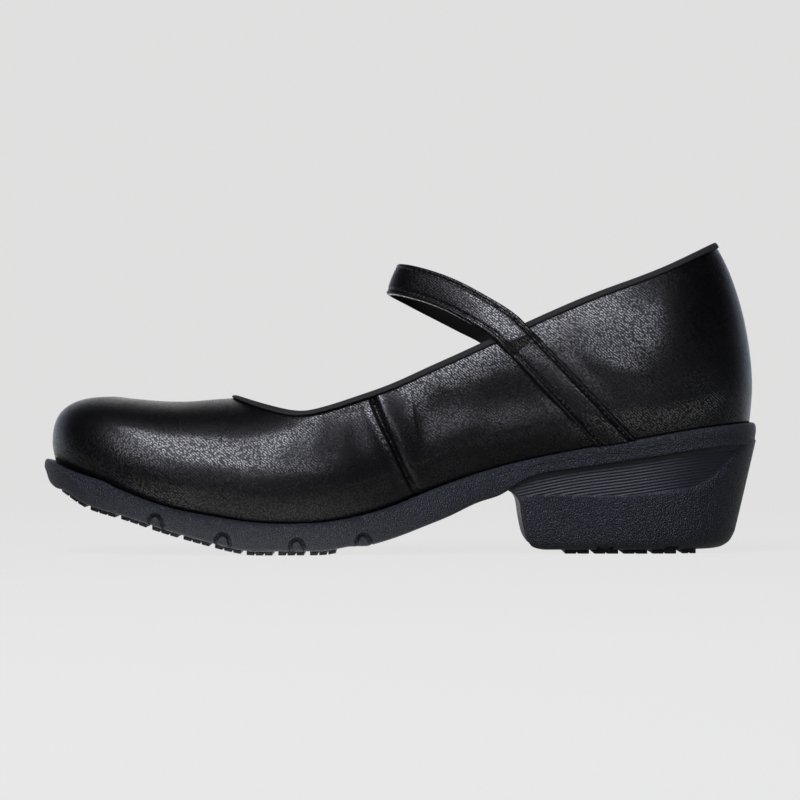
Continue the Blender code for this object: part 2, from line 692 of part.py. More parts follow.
def build_binding():
    """Binding folded over the collar edge: a channel swept round the opening on the upper's columns."""
    loop = collar_columns(False) + collar_columns(True)[1:-1]
    top_row = len(WALL_ROWS) + ARCH_ROWS - 1
    outer = GAP + BINDING_THICKNESS
    inner = -UPPER_WALL - BINDING_INNER_GAP - BINDING_THICKNESS
    crown = GAP + BINDING_THICKNESS
    shoulder = crown * BINDING_SHOULDER_RISE
    profile = (
        (GAP, -BINDING_LEG), (outer, -BINDING_LEG), (outer, 0.0), (outer * BINDING_SHOULDER, shoulder),
        ((outer + inner) / 2, crown), (inner + outer * (1.0 - BINDING_SHOULDER), shoulder),
        (inner, 0.0), (inner, -BINDING_LEG), (inner + BINDING_THICKNESS, -BINDING_LEG),
        (inner + BINDING_THICKNESS, GAP), (GAP, GAP),
    )
    rings = []
    for column in loop:
        turn, top, _ = wall_place(column, top_row)
        edge = last_point(turn, top)
        if abs(abs(turn) - throat_turn) < SAME_TURN:
            out = Vector((0.0, 0.0, 1.0))
            up = Vector((1.0, 0.0, 0.0))
        else:
            out = last_normal(turn, min(top, NEAR_RIDGE))
            ahead = last_point(turn + 0.2, collar_level(turn + 0.2))
            behind = last_point(turn - 0.2, collar_level(turn - 0.2))
            up = (ahead - behind).normalized().cross(out)
        rings.append([edge + out * across + up * along for across, along in profile])
    return tube("topline_binding", rings + [rings[0]], False)


def wall_spot(side, station, height):
    """Turn and level at which the upper's outer face shows at a place in side view."""
    turn = solve(wide_station, 0.0, HALF_TURN, station)
    level = 1.0
    for _ in range(SETTLING_ROUNDS):
        level = solve(lambda at: last_point(side * turn, at).z, 0.0, NEAR_RIDGE, height)
        miss = station - last_point(side * turn, level).x
        turn = min(turn + miss, HALF_TURN)
    return side * turn, level


def strap_run(side, run):
    """Rings of the strap laid on the quarter, from the collar down to the sole."""
    along = Vector((run.low_station - run.top_station, run.low_height - run.top_height)).normalized()
    across = Vector((-along.y, along.x))
    rings = []
    for step in range(STRAP_RUN_ROWS + 1):
        share = step / STRAP_RUN_ROWS
        under = []
        over = []
        for band in STRAP_BAND:
            start = Vector((run.top_station, run.top_height)) + across * band.across * STRAP_WIDTH / 2

            def gap_below(distance):
                spot = start + along * distance
                return feather(spot.x) + STRAP_FOOT_GAP - spot.y

            length = solve(gap_below, 0.0, STRAP_LONGEST_RUN)
            spot = start + along * length * share
            turn, level = wall_spot(side, spot.x, spot.y)
            point = last_point(turn, level)
            normal = last_normal(turn, level)
            below = feather(point.x) + collar_rise(point.x) - point.z
            rise = STRAP_RISE * min(max((STRAP_RISE_END - below) / STRAP_RISE_RUN, 0.0), 1.0)
            seat = point + normal * GAP + Vector((normal.x, normal.y, 0.0)).normalized() * rise
            under.append(seat + normal * band.under)
            over.append(seat + normal * band.over)
        rings.append(under + over[::-1])
    return rings


def build_strap():
    """One strap: sewn down on both quarters and free over the instep."""
    inner = strap_run(-1, INNER_RUN)[::-1]
    outer = strap_run(1, OUTER_RUN)
    width_count = len(STRAP_BAND)
    middle = width_count // 2

    def centre(ring):
        return ring[middle]

    path = [centre(ring) for ring in inner[-3:]]
    path += [Vector((row.station, row.offset, row.height)) for row in STRAP_LOOP]
    path += [centre(ring) for ring in outer[:3]]
    travel = [0.0]
    for near, far in zip(path, path[1:]):
        travel.append(travel[-1] + (far - near).length)
    curves = [smooth(travel, [point[axis] for point in path]) for axis in range(3)]
    first = travel[2]
    last = travel[-3]
    apex = travel[2 + len(STRAP_LOOP) // 2 + 1]
    width_inner = (inner[-1][width_count - 1] - inner[-1][0]).normalized()
    width_outer = (outer[0][width_count - 1] - outer[0][0]).normalized()
    free = []
    for step in range(1, STRAP_LOOP_ROWS):
        at = first + (last - first) * step / STRAP_LOOP_ROWS
        point = Vector([curve(at) for curve in curves])
        tangent = Vector([curve(at + 0.2) - curve(at - 0.2) for curve in curves]).normalized()
        share = (at - first) / (apex - first) if at < apex else (last - at) / (last - apex)
        share = share * share * (3.0 - 2.0 * share)
        width = (width_inner if at < apex else width_outer).lerp(STRAP_APEX_WIDTH, share)
        width = (width - tangent * width.dot(tangent)).normalized()
        normal = width.cross(tangent).normalized()
        under = [point + width * band.across * STRAP_WIDTH / 2 + normal * band.under for band in STRAP_BAND]
        over = [point + width * band.across * STRAP_WIDTH / 2 + normal * band.over for band in STRAP_BAND]
        free.append(under + over[::-1])
    return tube("instep_strap", inner + free + outer, True)


Finish = namedtuple("Finish", "colour roughness")
RUBBER = Finish((0.022, 0.024, 0.028), 0.6)
LEATHER = Finish((0.010, 0.010, 0.012), 0.38)
SOCK_CLOTH = Finish((0.050, 0.045, 0.042), 0.8)
BINDING_CLOTH = Finish((0.014, 0.014, 0.017), 0.7)


def dress(shaped, finish):
    """Plain material of an object."""
    material = bpy.data.materials.new(shaped.name)
    material.use_nodes = True
    shader = material.node_tree.nodes["Principled BSDF"]
    shader.inputs["Base Color"].default_value = (*finish.colour, 1.0)
    shader.inputs["Roughness"].default_value = finish.roughness
    shader.inputs["Metallic"].default_value = 0.0
    shaped.data.materials.append(material)


for startup in list(bpy.data.objects):
    bpy.data.objects.remove(startup)

dress(build_outsole(), RUBBER)
dress(build_upper(), LEATHER)
dress(build_insole(), SOCK_CLOTH)
dress(build_binding(), BINDING_CLOTH)
dress(build_strap(), LEATHER)
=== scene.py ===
"""Looks of the right work shoe with one instep strap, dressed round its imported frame.

Lengths are millimetres and stations count from the toe tip, as on the last's drawing; place() turns them
into the frame's metres. Upper, binding, strap and sole lie on one last, so its tables are repeated here.
In the shaders and the studio, places and sizes are metres and reliefs are millimetres.
"""

import math
from collections import namedtuple

import bmesh
import bpy
import numpy as np
from mathutils import Matrix, Quaternion, Vector, noise


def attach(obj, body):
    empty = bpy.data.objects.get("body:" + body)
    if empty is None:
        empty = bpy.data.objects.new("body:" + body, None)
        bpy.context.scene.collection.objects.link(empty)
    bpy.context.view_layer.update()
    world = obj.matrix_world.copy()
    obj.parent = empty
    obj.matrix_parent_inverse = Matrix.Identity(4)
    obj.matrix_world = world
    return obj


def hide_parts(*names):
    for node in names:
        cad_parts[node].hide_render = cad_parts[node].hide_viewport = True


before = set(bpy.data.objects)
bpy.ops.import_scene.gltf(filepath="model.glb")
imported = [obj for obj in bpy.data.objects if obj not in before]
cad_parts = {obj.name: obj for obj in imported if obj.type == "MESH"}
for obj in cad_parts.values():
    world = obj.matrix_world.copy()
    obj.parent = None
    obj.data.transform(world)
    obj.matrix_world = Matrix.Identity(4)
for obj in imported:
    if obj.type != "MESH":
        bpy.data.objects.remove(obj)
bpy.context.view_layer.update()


def table(kind, *rows):
    """Rows of numbers under the names of their kind."""
    return [kind(*row) for row in rows]


# Wall sizes and clearances
SOLE_LENGTH = 262.0
UPPER_WALL = 2.0
GAP = 0.3
MILLIMETRE = 0.001
WELD = 0.00001
TINY = 1e-6
NO_LENGTH = 1e-9

# Sections of the last from toe to heel: the widest line on the inner and outer side, the ridge, how square
# the arch between them is, and how the wall tucks in to the feather edge and the rim stands out from it
Section = namedtuple(
    "Section", "station inner outer ridge_station ridge_offset ridge_rise square belly tuck welt")
LAST = table(
    Section,
    (2.9, 4.0, -4.0, 26.0, -4.0, 24.7, 2.75, 7.4, 1.5, 4.4),
    (5.3, 16.0, 8.0, 26.5, -4.0, 25.6, 2.75, 7.6, 1.7, 4.3),
    (12.0, 26.8, 19.8, 28.5, -4.1, 27.85, 2.70, 8.2, 2.0, 4.0),
    (23.0, 35.0, 29.6, 34.0, -4.2, 30.6, 2.60, 9.2, 2.3, 3.6),
    (40.0, 41.0, 38.2, 46.0, -4.2, 36.1, 2.40, 10.3, 2.5, 3.3),
    (62.0, 44.4, 43.8, 64.0, -4.0, 42.0, 2.20, 11.3, 2.7, 3.1),
    (84.0, 45.0, 46.2, 85.0, -3.6, 47.6, 2.05, 12.0, 2.9, 3.0),
    (106.0, 42.6, 46.2, 106.0, -3.2, 55.2, 2.00, 12.4, 3.2, 2.9),
    (130.0, 37.4, 43.4, 130.0, -2.6, 63.8, 2.00, 12.6, 3.5, 2.8),
    (155.0, 33.0, 38.6, 154.0, -2.0, 72.0, 2.00, 12.6, 3.3, 2.7),
    (182.0, 31.2, 34.6, 179.0, -1.2, 79.0, 2.00, 12.5, 2.6, 2.6),
    (208.0, 31.3, 32.6, 201.0, -0.6, 83.5, 2.00, 12.4, 1.9, 2.5),
    (232.0, 29.6, 30.2, 217.0, -0.2, 82.5, 1.96, 12.3, 1.4, 2.4),
    (248.5, 22.2, 22.4, 225.0, 0.0, 80.6, 1.90, 12.3, 1.2, 2.4),
    (257.5, 12.0, 12.0, 228.0, 0.0, 79.9, 1.86, 12.3, 1.1, 2.4),
    (260.7, 0.0, 0.0, 228.5, 0.0, 79.8, 1.86, 12.3, 1.1, 2.4),
)

# Side view lines: the feather edge where upper and sole meet, the tread, and the collar's height above the
# feather edge
Line = namedtuple("Line", "station height")
FEATHER = table(
    Line, (-6.0, 36.6), (4.4, 32.6), (13.5, 29.2), (24.8, 25.6), (36.0, 21.2), (49.7, 16.8), (62.0, 14.4),
    (76.0, 12.2), (92.0, 11.5), (104.0, 12.1), (115.0, 14.0), (128.5, 17.9), (140.0, 22.6), (150.0, 26.4),
    (160.0, 29.8), (170.0, 32.6), (185.0, 36.0), (200.0, 38.8), (215.0, 41.3), (230.0, 44.0),
    (245.0, 46.3), (262.0, 47.9), (270.0, 48.3),
)
TREAD = table(
    Line, (-2.0, 28.0), (2.2, 25.4), (6.6, 22.9), (11.0, 20.2), (15.5, 17.4), (20.0, 15.6), (31.7, 12.4),
    (42.5, 8.8), (53.3, 5.6), (64.0, 2.7), (72.0, 0.8), (79.0, -0.2), (90.0, -0.4), (101.0, -0.2),
    (108.0, 0.8), (118.3, 3.1), (129.0, 6.2), (140.0, 10.4), (150.8, 14.9), (156.2, 17.6), (161.6, 19.7),
    (167.0, 21.5), (172.0, 24.6), (178.0, 27.8), (190.0, 30.4), (208.0, 32.9), (227.0, 35.8),
    (245.0, 38.3), (268.0, 39.9),
)
COLLAR = table(
    Line, (76.5, 42.6), (84.0, 41.0), (93.0, 39.6), (103.0, 40.7), (114.0, 42.4), (136.0, 43.8),
    (158.0, 45.6), (180.0, 49.9), (207.0, 56.2), (229.0, 60.8), (246.0, 66.3), (262.0, 71.5),
)
THROAT = 70.5
TUCK_ROUND = 1.5

# Levels on the last, from 0 at the feather edge by 1 at the widest line to 2 on the ridge
RIDGE = 2.0
NORMAL_TOP = 1.995
BINDING_TOP = 1.985
WALL_TOP = 1.98
COLLAR_LOW = 1.02
LEVEL_STEP = 0.02
TURN_STEP = 0.3

# Side seam on the inner side: its line, the fold across it, and the pull of its stitches
SEAM = table(
    Line, (140.4, 14.0), (136.8, 22.0), (132.9, 30.0), (129.5, 38.0), (124.6, 48.0), (120.3, 58.0),
    (117.2, 66.0),
)
Fold = namedtuple("Fold", "behind lift")
SEAM_FOLDS = table(
    Fold, (-36.0, 0.0), (-29.0, -0.15), (-22.0, -0.55), (-16.0, -1.0), (-11.0, -1.35), (-6.0, -1.6),
    (-2.5, -1.7), (-1.1, -1.95), (0.0, -2.9), (0.9, -1.6), (1.8, -0.6), (3.6, -0.2), (7.5, -0.5),
    (13.0, -0.7), (20.0, -0.4), (28.0, 0.0),
)
SEAM_FOOT = 7.0
SEAM_FOOT_SHARE = 0.4
SEAM_COLLAR_SHARE = 0.45
PUCKER_PITCH = 2.4
PUCKER_LIFT = 0.08
PUCKER_APART = 1.4
PUCKER_REACH = 1.6
COLLAR_FADE = 4.0

# Creases placed in side view: troughs have a depth, ridges a depth below zero
Crease = namedtuple("Crease", "side start_station start_height end_station end_height width depth")
CREASES = table(
    Crease, (-1, 94.0, 50.0, 78.0, 38.0, 6.0, 0.12), (-1, 100.0, 49.0, 92.0, 32.0, 5.0, 0.22),
    (-1, 108.0, 52.0, 104.0, 34.0, 4.0, 0.18), (-1, 116.0, 54.0, 114.0, 38.0, 4.0, 0.20),
    (-1, 84.0, 24.0, 112.0, 22.0, 5.0, 0.20), (-1, 146.0, 60.0, 138.0, 36.0, 6.0, 0.30),
    (-1, 160.0, 58.0, 150.0, 40.0, 6.0, -0.30), (-1, 172.0, 70.0, 199.0, 44.0, 2.4, 0.25),
    (-1, 192.0, 74.0, 216.0, 50.0, 3.0, 0.22), (-1, 204.0, 70.0, 222.0, 62.0, 4.0, -0.25),
    (-1, 214.0, 58.0, 244.0, 60.0, 6.0, 0.30), (-1, 226.0, 96.0, 238.0, 74.0, 7.0, -0.22),
    (-1, 136.0, 51.0, 192.0, 59.0, 9.0, 1.20), (1, 96.0, 50.0, 82.0, 36.0, 6.0, 0.30),
    (1, 112.0, 52.0, 104.0, 32.0, 5.0, 0.22), (1, 150.0, 60.0, 140.0, 36.0, 6.0, 0.25),
    (1, 168.0, 70.0, 195.0, 44.0, 2.4, 0.25), (1, 214.0, 58.0, 244.0, 60.0, 6.0, 0.30),
)
CREASE_END_SHARE = 0.35
UNEVEN_SPAN = 17.0
UNEVEN_LIFT = 0.16

# Sidewall of the sole: how far in from the rim each row lies, ahead of the heel and over it, and how far
# below the top or above the base
Wall = namedtuple("Wall", "inset heel_inset below_top above_base")
SIDEWALL = table(
    Wall, (3.2, 3.2, 0.0, None), (2.2, 2.1, -0.35, None), (1.4, 1.2, -0.2, None), (0.45, 0.35, 0.4, None),
    (0.0, 0.0, 1.7, None), (0.5, 0.15, None, 3.6), (1.1, 0.3, None, 2.0), (1.8, 0.45, None, 0.6),
    (2.2, 0.9, None, 0.25), (3.4, 3.4, None, 0.0),
)
SIDEWALL_SPANS = (1.05, 0.8, 1.1, 1.4, 3.9, 1.7, 1.5, 0.55, 1.4)
HEEL_BAND_START = 166.0
HEEL_BAND_FULL = 176.0
LUG_HEIGHT = 1.5
Lugged = namedtuple("Lugged", "begin full hold end")
LUGGED = Lugged(5.0, 9.0, 112.0, 119.0)
BUMPER_END = 28.0
BUMPER_RUN = 4.0
BUMPER_RISE = 0.7
BUMPER_ROWS = (0.0, 0.75, 1.0, 1.0, 0.4)
PLATFORM_SHARES = (1.0, 0.6, 0.2)
BASE_SHARES = (0.25, 0.6, 1.0)

# Heel block: its breast and the ledge over it in side view, the height of its ribbed panel below the ledge,
# the rounding of its bottom edge, and the notches above its tread
BREAST = table(
    Line, (187.0, 1.0), (183.0, 1.5), (179.8, 2.2), (178.0, 3.4), (176.6, 5.6), (175.5, 9.2),
    (174.8, 12.8), (174.3, 16.4), (173.4, 20.0), (171.4, 22.2), (168.0, 24.0), (164.0, 26.0),
)
PANEL = table(
    Line, (160.0, 5.5), (174.0, 7.3), (186.5, 9.5), (199.5, 12.0), (219.0, 14.2), (237.0, 14.6),
    (245.0, 13.0), (251.5, 7.0), (256.0, 1.5), (262.0, -0.5), (270.0, -1.0),
)
LEDGE = table(
    Line, (160.0, 23.6), (174.7, 27.0), (180.6, 28.3), (192.8, 30.8), (212.0, 33.5), (231.2, 36.4),
    (254.4, 39.2), (270.0, 40.2),
)
HEEL_FRONT = 174.0
HEEL_STEP_IN = 1.9
HEEL_BACK_FLUSH = 1.6
HEEL_SIDE_TAPER = 0.10
HEEL_BACK_TAPER = 0.235
HEEL_TOP_OVERLAP = 1.5
HEEL_CORNER = 1.4
HEEL_CORNER_SHARE = 0.3
HEEL_CROWDING = 1.25
BREAST_HOLLOW = 2.5
PANEL_DEPTH = 0.8
PANEL_EDGE = 1.8
PANEL_BACK = 236.0
PANEL_BACK_RUN = 10.0
PANEL_BACK_SOFT = 2.6
RIB_COUNT = 13
RIB_PITCH = 1.1
RIB_START = 1.0
RIB_DEPTH = 0.3
Round = namedtuple("Round", "height inset")
HEEL_FOOT = table(
    Round, (8.0, 0.0), (6.2, 0.2), (4.5, 0.5), (3.5, 0.9), (2.7, 1.4), (2.1, 2.0), (1.8, 2.6), (1.6, 3.2),
    (1.5, 4.0),
)
NOTCH_STATIONS = (205.2, 231.3)
NOTCH_HALF = 2.8
NOTCH_SIDE_SOFT = 0.6
NOTCH_TOP = 3.0
NOTCH_TOP_SOFT = 0.5
NOTCH_DEPTH = 1.9

# Tread lugs in straight rows across the forefoot and the heel, each cut by fine sipes
Lugs = namedtuple("Lugs", "first pitch length rows across margin sipes")
FOREFOOT_LUGS = Lugs(7.1, 11.4, 9.3, 9, 5, 4.2, 2)
HEEL_LUGS = Lugs(190.8, 10.6, 8.8, 4, 4, 9.4, 1)
BACK_LUGS = Lugs(233.6, 10.6, 5.2, 1, 3, 10.4, 1)
LUG_CHANNEL = 2.0
LUG_ROOT = 0.9
SIPE_WIDTH = 0.55
SIPE_DEPTH = 0.9
LUG_BEVEL = 0.16

# Arched grooves in the forefoot sidewall, each round a small pillar
ARCH_STATIONS = (43.2, 67.6, 94.8, 118.8)
ARCH_OUTER = 3.1
ARCH_INNER = 1.5
ARCH_RISE = 2.3
ARCH_LEAN = math.radians(28.0)
ARCH_DEPTH = 1.5
ARCH_FOOT_INSET = 1.4
ARCH_SOFT = 0.3

# Insole inside the upper
INSOLE_THICKNESS = 3.0
INSOLE_MARGIN = 3.4
INSOLE_ROUND = 0.9
INSOLE_GAP = 0.1

# Binding folded over the collar edge: its section as steps out of the wall and up past the wall's edge
Profile = namedtuple("Profile", "out up")
BINDING = table(
    Profile, (0.30, -1.42), (0.62, -1.56), (0.90, -1.36), (0.98, -0.80), (0.98, -0.15), (0.82, 0.42),
    (0.35, 0.80), (-0.40, 0.96), (-1.15, 1.00), (-1.90, 0.96), (-2.65, 0.80), (-3.12, 0.42),
    (-3.28, -0.15), (-3.28, -0.80), (-3.20, -1.36), (-2.94, -1.56), (-2.60, -1.42), (-2.60, -0.60),
    (-2.60, 0.30), (-1.15, 0.30), (0.30, 0.30), (0.30, -0.60),
)
BINDING_WAVE = 0.07
BINDING_WAVE_SPAN = 5.0
BINDING_WAVE_DRIFT = 7.3
BINDING_WAVE_BELOW = -1.0
BINDING_BACK = 235.0
BINDING_BACK_FLAT = 0.7

# Strap: its run down the quarter, its free loop over the instep, and its band
STRAP_WIDTH = 12.0
STRAP_RISE = 1.5
STRAP_RISE_END = 9.0
STRAP_RISE_RUN = 5.0
STRAP_FOOT_GAP = 0.6
STRAP_APEX_WIDTH = np.array((0.36, 0.0, 0.93))
Run = namedtuple("Run", "top_station top_height low_station low_height")
INNER_RUN = Run(170.2, 81.2, 209.5, 40.4)
OUTER_RUN = Run(167.0, 80.0, 204.0, 39.6)
Loop = namedtuple("Loop", "station offset height")
STRAP_LOOP = table(
    Loop, (160.0, -23.6, 88.2), (150.4, -18.0, 93.6), (139.4, -11.2, 98.0), (131.6, -4.4, 100.0),
    (129.5, 1.6, 100.0), (132.8, 8.2, 98.2), (140.6, 15.0, 94.2), (150.2, 21.4, 89.2),
    (159.4, 27.4, 84.4),
)
STRAP_PATH_SHARES = np.array((2 / 9, 1 / 9, 0.0))
STRAP_REACH = 90.0
STRAP_HALF_ACROSS = (
    0.0, 0.14, 0.28, 0.40, 0.50, 0.58, 0.64, 0.70, 0.76, 0.82, 0.87, 0.91, 0.945, 0.975, 1.0)
STRAP_ACROSS = np.array([-at for at in STRAP_HALF_ACROSS[:0:-1]] + list(STRAP_HALF_ACROSS))
STRAP_MIDDLE = len(STRAP_HALF_ACROSS) - 1
STRAP_TOP_ACROSS = 3.0
STRAP_CLOSE_ACROSS = 5.0
STRAP_ROUND = 0.13
STRAP_EDGE_UNDER = 0.5
STRAP_EDGE_OVER = 0.9
STRAP_THICKNESS = 2.0
STRAP_STITCH_LINE = 0.70
STRAP_GROOVE = 0.7
STRAP_GROOVE_HALF = 0.5
STRAP_GROOVE_LOW = 0.6
STRAP_GROOVE_LOW_START = 18.0
STRAP_GROOVE_LOW_RUN = 24.0
STRAP_PILLOW = 0.24
STRAP_JOIN = 12.0
STRAP_BLEND_ROWS = 12.0
STRAP_TANGENT = 0.2
TACK_EDGE = 0.25
TACK_FOLDS = table(
    Fold, (0.0, 0.0), (3.0, 0.08), (6.6, 0.15), (7.4, 0.0), (8.0, -0.25), (8.6, 0.0), (10.2, 0.2),
    (13.0, 0.1), (18.0, 0.0), (30.0, 0.0),
)
STITCH_PITCH = 2.3
STITCH_PULL_SHARE = 0.65
STITCH_LENGTH = 1.75
STITCH_RADIUS = 0.24
STITCH_SINK = 0.1
STITCH_AHEAD = 0.4
STITCH_SIDES = 6

# Mesh density, and how often a place is sought
COLUMN_PITCH = 1.35
SEAM_PITCH = 0.5
SEAM_ZONE = 14.0
THROAT_COLUMNS = 14
THROAT_RUN = 7.0
UPPER_ROWS = 72
UPPER_TRIALS = 160
SOLE_PITCH = 1.1
ARCH_PITCH = 0.24
ARCH_ZONE = 4.6
SOLE_ROWS = 58
HEEL_COLUMNS = 110
HEEL_ROW_PITCH = 0.16
HEEL_LEVEL_ROWS = 16
HEEL_FOOT_ROWS = 34
BREAST_COLUMNS = 24
INSOLE_PITCH = 2.2
INSOLE_EDGE_ROWS = 6
INSOLE_TOP_ROWS = 9
STRAP_RUN_ROWS = 64
STRAP_LOOP_ROWS = 110
RIM_TRIALS = 400
SOLVE_ROUNDS = 40
SETTLE_ROUNDS = 12

# Camera in metres, and where the photo has the toe and the heel in pixels
PHOTO_TOE = 46.0
PHOTO_HEEL = 755.5
PHOTO_SIZE = 800
CAMERA_DISTANCE = 1.6
CAMERA_HEIGHT = 0.056
CAMERA_SIGHT = 20.0
SENSOR = 36.0


def smooth(knots, values):
    """Cubic curve through a table's rows, with straight ends, for single places or arrays of them."""
    knots = np.array(knots, float)
    values = np.array(values, float)
    step = np.diff(knots)
    slope = np.diff(values) / step
    count = len(knots)
    matrix = np.eye(count)
    bend = np.zeros(count)
    for row in range(1, count - 1):
        matrix[row, row - 1:row + 2] = step[row - 1], 2 * (step[row - 1] + step[row]), step[row]
        bend[row] = 6 * (slope[row] - slope[row - 1])
    bend = np.linalg.solve(matrix, bend)

    def curve(at):
        at = np.clip(at, knots[0], knots[-1])
        span = np.clip(np.searchsorted(knots, at) - 1, 0, count - 2)
        width = step[span]
        left = at - knots[span]
        right = knots[span + 1] - at
        cubic = (bend[span] * right ** 3 + bend[span + 1] * left ** 3) / (6 * width)
        start = (values[span] / width - bend[span] * width / 6) * right
        end = (values[span + 1] / width - bend[span + 1] * width / 6) * left
        return cubic + start + end

    return curve


def side_line(rows):
    """Side view line through a table."""
    return smooth([row.station for row in rows], [row.height for row in rows])


def resample(spans, count):
    """Weights that draw a smooth line of many rows through a few rows set apart by the given spans."""
    knots = np.concatenate(((0.0,), np.cumsum(spans)))
    at = np.linspace(0.0, knots[-1], count)
    return np.stack([smooth(knots, unit)(at) for unit in np.eye(len(knots))], -1)


def eased(share):
    """Soft step from 0 to 1."""
    share = np.clip(share, 0.0, 1.0)
    return share * share * (3.0 - 2.0 * share)


def lifted(floor, share):
    """Share that starts from a floor instead of 0."""
    return floor + (1.0 - floor) * share


def stack(*columns):
    """Points from their coordinates."""
    return np.stack(np.broadcast_arrays(*columns), -1)


def unit(vectors):
    """Vectors at length 1."""
    return vectors / np.maximum(np.linalg.norm(vectors, axis=-1, keepdims=True), NO_LENGTH)


def travel(points):
    """Distance of each point along its line."""
    steps = np.linalg.norm(np.diff(points, axis=0), axis=-1)
    return np.concatenate(((0.0,), np.cumsum(steps)))


def solve(function, low, high, target=0.0):
    """Where a rising function reaches the target between two limits."""
    for _ in range(SOLVE_ROUNDS):
        middle = (low + high) / 2
        is_below = function(middle) < target
        low = np.where(is_below, middle, low)
        high = np.where(is_below, high, middle)
    return (low + high) / 2


def section_turns():
    """Distance of each section along the widest line from the toe, as the mean of both sides."""
    turns = [0.0]
    for near, far in zip(LAST, LAST[1:]):
        along = far.station - near.station
        inner = math.hypot(along, far.inner - near.inner)
        outer = math.hypot(along, far.outer - near.outer)
        turns.append(turns[-1] + (inner + outer) / 2)
    return turns


TURNS = section_turns()
HALF_TURN = TURNS[-1]
WRAP_ROWS = 6


def around(inner, outer):
    """Closed curve round the shoe; its turn is below 0 on the inner side, 0 at the toe, above 0 outside."""
    last = len(TURNS) - 1
    knots = []
    values = []
    for row in range(-last - WRAP_ROWS, last + WRAP_ROWS + 1):
        lap = int(math.copysign(1, row)) if abs(row) > last else 0
        folded = row - 2 * last * lap
        side = inner if folded < 0 else outer
        knots.append(math.copysign(TURNS[abs(folded)], folded) + 2 * HALF_TURN * lap)
        values.append(side[abs(folded)])
    return smooth(knots, values)


def even(name):
    """Closed curve of a section column that is the same on both sides."""
    column = [getattr(row, name) for row in LAST]
    return around(column, column)


wide_station = even("station")
wide_offset = around([-row.inner for row in LAST], [row.outer for row in LAST])
ridge_station = even("ridge_station")
ridge_offset = even("ridge_offset")
ridge_rise = even("ridge_rise")
square = even("square")
belly = even("belly")
tuck = even("tuck")
welt = even("welt")
feather = side_line(FEATHER)
tread_curve = side_line(TREAD)
panel_height = side_line(PANEL)
ledge = side_line(LEDGE)
breast_station = smooth([row.height for row in BREAST], [row.station for row in BREAST])
seam_station = smooth([row.height for row in SEAM], [row.station for row in SEAM])
seam_lift = smooth([fold.behind for fold in SEAM_FOLDS], [fold.lift for fold in SEAM_FOLDS])
tack_lift = smooth([fold.behind for fold in TACK_FOLDS], [fold.lift for fold in TACK_FOLDS])
throat_turn = solve(ridge_station, 0.0, HALF_TURN, THROAT)
seam_turn = solve(wide_station, 0.0, HALF_TURN, SEAM[3].station)


def outward(turn):
    """Direction square to the widest line in plan, away from the foot."""
    step = 0.05
    along = wide_station(turn + step) - wide_station(turn - step)
    across = wide_offset(turn + step) - wide_offset(turn - step)
    return unit(stack(-across, along))


def outline(turn, out):
    """Point in plan at a distance outside the widest line."""
    return stack(wide_station(turn), wide_offset(turn)) + outward(turn) * np.asarray(out)[..., None]


def rim(turn, inset):
    """Point in plan at a distance inside the sole's rim."""
    return outline(turn, welt(turn) - tuck(turn) - inset)


def rim_turn(station, inset):
    """Turn at which the inset rim reaches a station."""
    return solve(lambda turn: rim(turn, inset)[..., 0], 0.0, HALF_TURN, station)


def last_point(turn, level):
    """Outer face of the upper: level 0 at the feather edge, 1 at the widest line, 2 on the ridge."""
    turn, level = np.broadcast_arrays(np.asarray(turn, float), np.asarray(level, float))
    foot = feather(outline(turn, -tuck(turn))[..., 0])
    foot_across = feather(outline(-turn, -tuck(-turn))[..., 0])
    low = np.clip(level, 0.0, 1.0)
    wall = outline(turn, -tuck(turn) * (1.0 - low) ** TUCK_ROUND)
    angle = np.clip((level - 1.0) * np.pi / 2, 0.0, np.pi / 2)
    power = 2.0 / square(turn)
    out = np.maximum(np.cos(angle), 0.0) ** power
    up = np.sin(angle) ** power
    top = stack(ridge_station(turn), ridge_offset(turn))
    arch = top + (outline(turn, 0.0) - top) * out[..., None]
    plan = np.where((level <= 1.0)[..., None], wall, arch)
    arch_share = np.where(level <= 1.0, 0.0, up)
    rise = belly(turn) * low + (ridge_rise(turn) - belly(turn)) * arch_share
    foot = foot + (foot_across - foot) / 2 * arch_share
    return stack(plan[..., 0], plan[..., 1], foot + rise)


def last_normal(turn, level):
    """Direction out of the upper's outer face."""
    along = last_point(turn + TURN_STEP, level) - last_point(turn - TURN_STEP, level)
    above = last_point(turn, np.minimum(level + LEVEL_STEP, NORMAL_TOP))
    below = last_point(turn, np.maximum(level - LEVEL_STEP, 0.0))
    return unit(np.cross(above - below, along))


def collar_line():
    """Collar's height above the feather edge, starting from the ridge at the throat."""
    throat = last_point(throat_turn, RIDGE)
    stations = [throat[0]] + [row.station for row in COLLAR]
    return smooth(stations, [throat[2] - feather(throat[0])] + [row.height for row in COLLAR])


collar_rise = collar_line()


def collar_level(turn):
    """Level of the collar's cut edge; ahead of the throat the wall runs on to the ridge."""

    def above(level):
        point = last_point(turn, level)
        return point[..., 2] - feather(point[..., 0]) - collar_rise(point[..., 0])

    return np.where(np.abs(turn) <= throat_turn + TINY, RIDGE, solve(above, COLLAR_LOW, RIDGE))


def tread(station):
    """Height of the walking face, flat where it meets the floor."""
    return np.maximum(tread_curve(station), 0.0)


def base(station):
    """Height of the sole between its lugs."""
    begin = (station - LUGGED.begin) / (LUGGED.full - LUGGED.begin)
    end = (LUGGED.end - station) / (LUGGED.end - LUGGED.hold)
    return tread(station) + LUG_HEIGHT * np.clip(np.minimum(begin, end), 0.0, 1.0)


def middle_of_rim():
    """Middle of the rim's width, where the origin is."""
    turns = np.linspace(0.0, HALF_TURN, RIM_TRIALS)
    return (rim(-turns, 0.0)[:, 1].min() + rim(turns, 0.0)[:, 1].max()) / 2


CENTRE = np.array((SOLE_LENGTH / 2, middle_of_rim(), 0.0))


